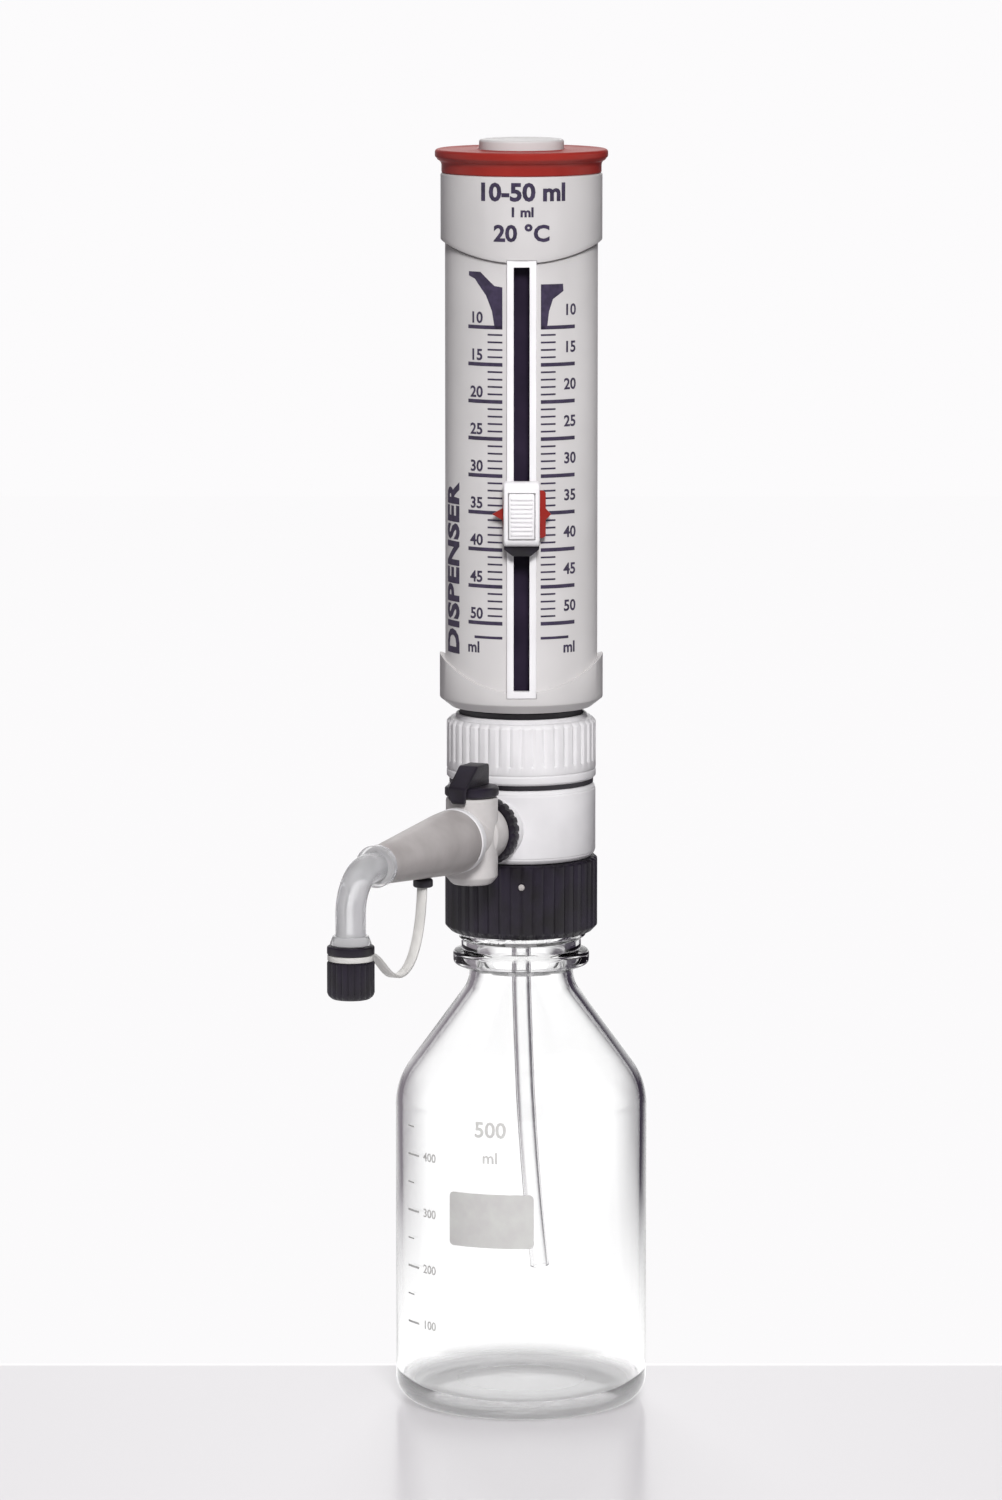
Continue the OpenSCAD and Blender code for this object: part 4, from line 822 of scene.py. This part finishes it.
barrelShape = {"steps": 112, "soft": 0.4, "softSteps": 3, "softFrom": 25,
               "outline": [(0, 184.8), (6.2, 184.8), (6.9, 185.1), (8.75, 187.4), (8.75, 213.7), (8.2, 214.3),
                           (5.0, 214.3), (5.0, 212), (0, 212)]}
barrel = turnShape(barrelShape, atOutlet(outlet["tap"]))
finishPiece(barrel, "stopcock_barrel", naturalPolypropylene, "head", ["tap_body"])
armShape = {"soft": 0.3, "outline": [(0, 28.1), (7.8, 28.1), (7.8, 29.3), (6, 29.3), (6, 30.6), (9.3, 30.6),
                                     (9.8, 31.1), (9.8, 39.5), (8.6, 40.7), (8.6, 50.2), (0, 50.2)]}
arms = turnShape(armShape, alongOutlet)
finishPiece(arms, "stopcock_arms", naturalPolypropylene, "head")

# handle: a disc with a thumb fin that droops past it in front, where it is narrower
handleShape = {"soft": 0.25, "outline": [(0, 214.6), (8.5, 214.6), (9.1, 215.2), (9.1, 217.4), (8.5, 218), (0, 218)]}
finShape = {"thick": 7, "droopFrom": 9, "droopBelow": 217.5, "droopWidth": 0.72, "soft": 0.6, "softFrom": 50,
            "outline": [(-6.6, 217), (9.4, 217), (9.4, 213.0)] + arcPoints((10.3, 214.4), 1.4, -90, 0, 5)
            + [(11.7, 218.6)] + arcPoints((2.4, 223.8), 1.2, 60, 90, 3) + arcPoints((-5.6, 224), 1, 90, 180, 5)}
handle = turnShape(handleShape)
fin = bmesh.new()
addOutline(fin, finShape["outline"], -finShape["thick"] / 2, finShape["thick"])
for vert in fin.verts:
    if vert.co.x > finShape["droopFrom"] * mm and vert.co.z < finShape["droopBelow"] * mm:
        vert.co.y *= finShape["droopWidth"]
softenEdges(fin, finShape["soft"], 4, fromAngle=finShape["softFrom"])
joinInto(handle, fin)
moveInto(handle, atOutlet(outlet["tap"]))
finishPiece(handle, "stopcock_handle", blackNylon, "tap", ["tap_knob"])

nozzleShape = {"steps": 112, "soft": 0.25, "softFrom": 30,
               "outline": [(5, 54), (10.5, 54), (10.7, 54.2), (10.7, 56.3), (10.55, 59.8), (10.37, 62.3), (6.3, 110.5),
                           (5.9, 111), (5, 111)]}
nozzle = turnShape(nozzleShape, alongOutlet)
finishPiece(nozzle, "nozzle_cone", greyFluoropolymer, "head", ["nozzle_housing"])
# pale ring at the wide end of the cone
rimShape = {"steps": 112, "soft": 0.3, "softSteps": 3, "softFrom": 25,
            "outline": [(5, 50.3), (10.2, 50.3), (10.9, 51.0), (10.9, 53.5), (10.6, 54.0), (5, 54.0)]}
rim = turnShape(rimShape, alongOutlet)
finishPiece(rim, "nozzle_rim", whitePolypropylene, "head")

# spring of the outlet valve, built at one length; the real spring shortens when its ball opens
coilShape = {"mean": 2.3, "wire": 0.35, "low": 59.52, "high": 69.05, "turns": 6, "steps": 24, "sides": 10}
coilSteps = coilShape["turns"] * coilShape["steps"]
coilLoops = []
for i in range(coilSteps + 1):
    distance = coilShape["low"] + (coilShape["high"] - coilShape["low"]) * i / coilSteps
    turn = math.tau * i / coilShape["steps"]
    coilLoops.append([])
    for k in range(coilShape["sides"]):
        around = math.tau * k / coilShape["sides"]
        reach = coilShape["mean"] + coilShape["wire"] * math.cos(around)
        coilLoops[-1].append((reach * math.cos(turn), reach * math.sin(turn),
                              distance + coilShape["wire"] * math.sin(around)))
coil = bmesh.new()
skinLoops(coil, coilLoops)
moveInto(coil, alongOutlet)
coilPiece = finishPiece(coil, "outlet_coil", turnedSteel, None, ["outlet_spring"], smooth=50)
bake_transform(coilPiece)
print("outlet made")


# spout, its collars, cap and strap

spoutShape = {"outer": 4.95, "inner": 4.45, "start": 93, "bendStart": 118.8, "bend": 13, "tip": 164, "sides": 48,
              "straightSteps": 6, "bendSteps": 16, "dropSteps": 4}
spout = bmesh.new()
rings = []
for radius in (spoutShape["outer"], spoutShape["inner"]):
    verts = bmesh.ops.create_circle(spout, segments=spoutShape["sides"], radius=radius * mm, cap_ends=False)["verts"]
    bmesh.ops.transform(spout, matrix=Matrix.Translation((spoutShape["start"] * mm, 0, outlet["height"] * mm))
                        @ rotation(90, "Y"), verts=verts, space=Matrix.Identity(4))
    rings += [e for e in spout.edges if e.verts[0] in verts]
startRings = list(rings)


def extrudeRings(bm, edges, steps, whole):
    for _ in range(steps):
        made = bmesh.ops.extrude_edge_only(bm, edges=edges)["geom"]
        bmesh.ops.translate(bm, vec=[w * mm / steps for w in whole],
                            verts=[g for g in made if isinstance(g, bmesh.types.BMVert)])
        edges = [g for g in made if isinstance(g, bmesh.types.BMEdge)]
    return edges


rings = extrudeRings(spout, rings, spoutShape["straightSteps"], (spoutShape["bendStart"] - spoutShape["start"], 0, 0))
bendLevel = outlet["height"] - spoutShape["bend"]
turned = bmesh.ops.spin(spout, geom=rings + list(dict.fromkeys(v for e in rings for v in e.verts)),
                        cent=(spoutShape["bendStart"] * mm, 0, bendLevel * mm), axis=(0, 1, 0), dvec=(0, 0, 0),
                        angle=math.radians(90), steps=spoutShape["bendSteps"], use_merge=False,
                        use_normal_flip=False, use_duplicate=False)["geom_last"]
rings = [g for g in turned if isinstance(g, bmesh.types.BMEdge)]
rings = extrudeRings(spout, rings, spoutShape["dropSteps"], (0, 0, spoutShape["tip"] - bendLevel))
for ends in (startRings, rings):
    bmesh.ops.bridge_loops(spout, edges=ends)
bmesh.ops.remove_doubles(spout, verts=spout.verts, dist=1e-6)
bmesh.ops.recalc_face_normals(spout, faces=spout.faces)
moveInto(spout, atOutlet(0))
finishPiece(spout, "spout_pipe", extrudedTube, "head", ["spout_tube"], smooth=45)

collarShape = {"steps": 72, "outline": [(5, 178), (6.5, 178), (6.8, 178.3), (6.6, 179), (5.9, 180.8), (5.6, 181),
                                        (5, 181)]}
coneCollarShape = {"steps": 72, "outline": [(5, 111.1), (6.7, 111.1), (7, 111.4), (7, 113.8), (6.7, 114.1),
                                            (5, 114.1)]}
collar = turnShape(collarShape, atOutlet(outlet["spout"]))
joinInto(collar, turnShape(coneCollarShape, alongOutlet))
finishPiece(collar, "spout_rings", extrudedTube, "head", ["spout_collar"])

tipCap = {"radius": 7.75, "depth": 0.45, "ribs": 20, "land": 0.35, "from": 160, "to": 172.4, "soft": 0.2,
          "outline": [(0, 160.3), (6.2, 160.3), (7.3, 161.2), (7.75, 162.3), (7.75, 172.2), (7.35, 172.7),
                      (6.6, 172.7), (6.6, 174.9), (7.5, 174.9), (7.75, 175.2), (7.75, 177.3), (7.35, 177.7),
                      (5.25, 177.7), (5.25, 162.8), (0, 162.8)]}
closure = turnShape(tipCap, atOutlet(outlet["spout"]))
finishPiece(closure, "tip_cap", blackNylon, "closure", ["spout_cap"])

# strap from the stud to the cap's groove: a rounded ribbon along two cubic curves, with an eye round the cap;
# a curve's four points are (distance, height)
strapShape = {
    "width": 3.5, "thick": 1.1, "steps": 16,
    "curves": [((78.1, 189.64), (78.9, 177.04), (83.5, 162.2), (96.5, 162.2)),
               ((96.5, 162.2), (107.5, 162.2), (110.65, 173.8), (124.65, 173.8))],
    "section": [(-1, -0.5), (-0.86, -1), (0.86, -1), (1, -0.5), (1, 0.5), (0.86, 1), (-0.86, 1), (-1, 0.5)]}
eyeShape = {"steps": 72, "soft": 0.3, "softSteps": 3,
            "outline": [(6.65, 172.85), (7.6, 172.85), (7.6, 174.75), (6.65, 174.75)]}
route = []
for part, (a, b, c, d) in enumerate(strapShape["curves"]):
    for i in range(part, strapShape["steps"] + 1):
        t = i / strapShape["steps"]
        route.append(Vector([(1 - t) ** 3 * p + 3 * (1 - t) ** 2 * t * q + 3 * (1 - t) * t * t * r + t ** 3 * s
                             for p, q, r, s in zip(a, b, c, d)]))
strapLoops = []
for i, point in enumerate(route):
    ahead = (route[min(i + 1, len(route) - 1)] - route[max(i - 1, 0)]).normalized()
    strapLoops.append([])
    for x, z in strapShape["section"]:
        lift = z * strapShape["thick"] / 2
        strapLoops[-1].append((point.x - ahead.y * lift, x * strapShape["width"] / 2, point.y + ahead.x * lift))
strap = bmesh.new()
skinLoops(strap, strapLoops)
moveInto(strap, atOutlet(0))
joinInto(strap, turnShape(eyeShape, atOutlet(outlet["spout"])))
strapPiece = finishPiece(strap, "strap_band", softPolyethylene, None, ["cap_strap"], smooth=50)
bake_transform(strapPiece)

studShape = {"distance": 77.5, "steps": 64, "soft": 0.25,
             "outline": [(0, 189.04), (2.9, 189.04), (3.3, 189.4), (3.3, 191.4), (2.9, 191.84), (1.6, 191.84),
                         (1.6, 194.5), (0, 194.5)]}
stud = turnShape(studShape, atOutlet(studShape["distance"]))
finishPiece(stud, "stud_button", blackNylon, "head", ["strap_stud"])
print("spout made")
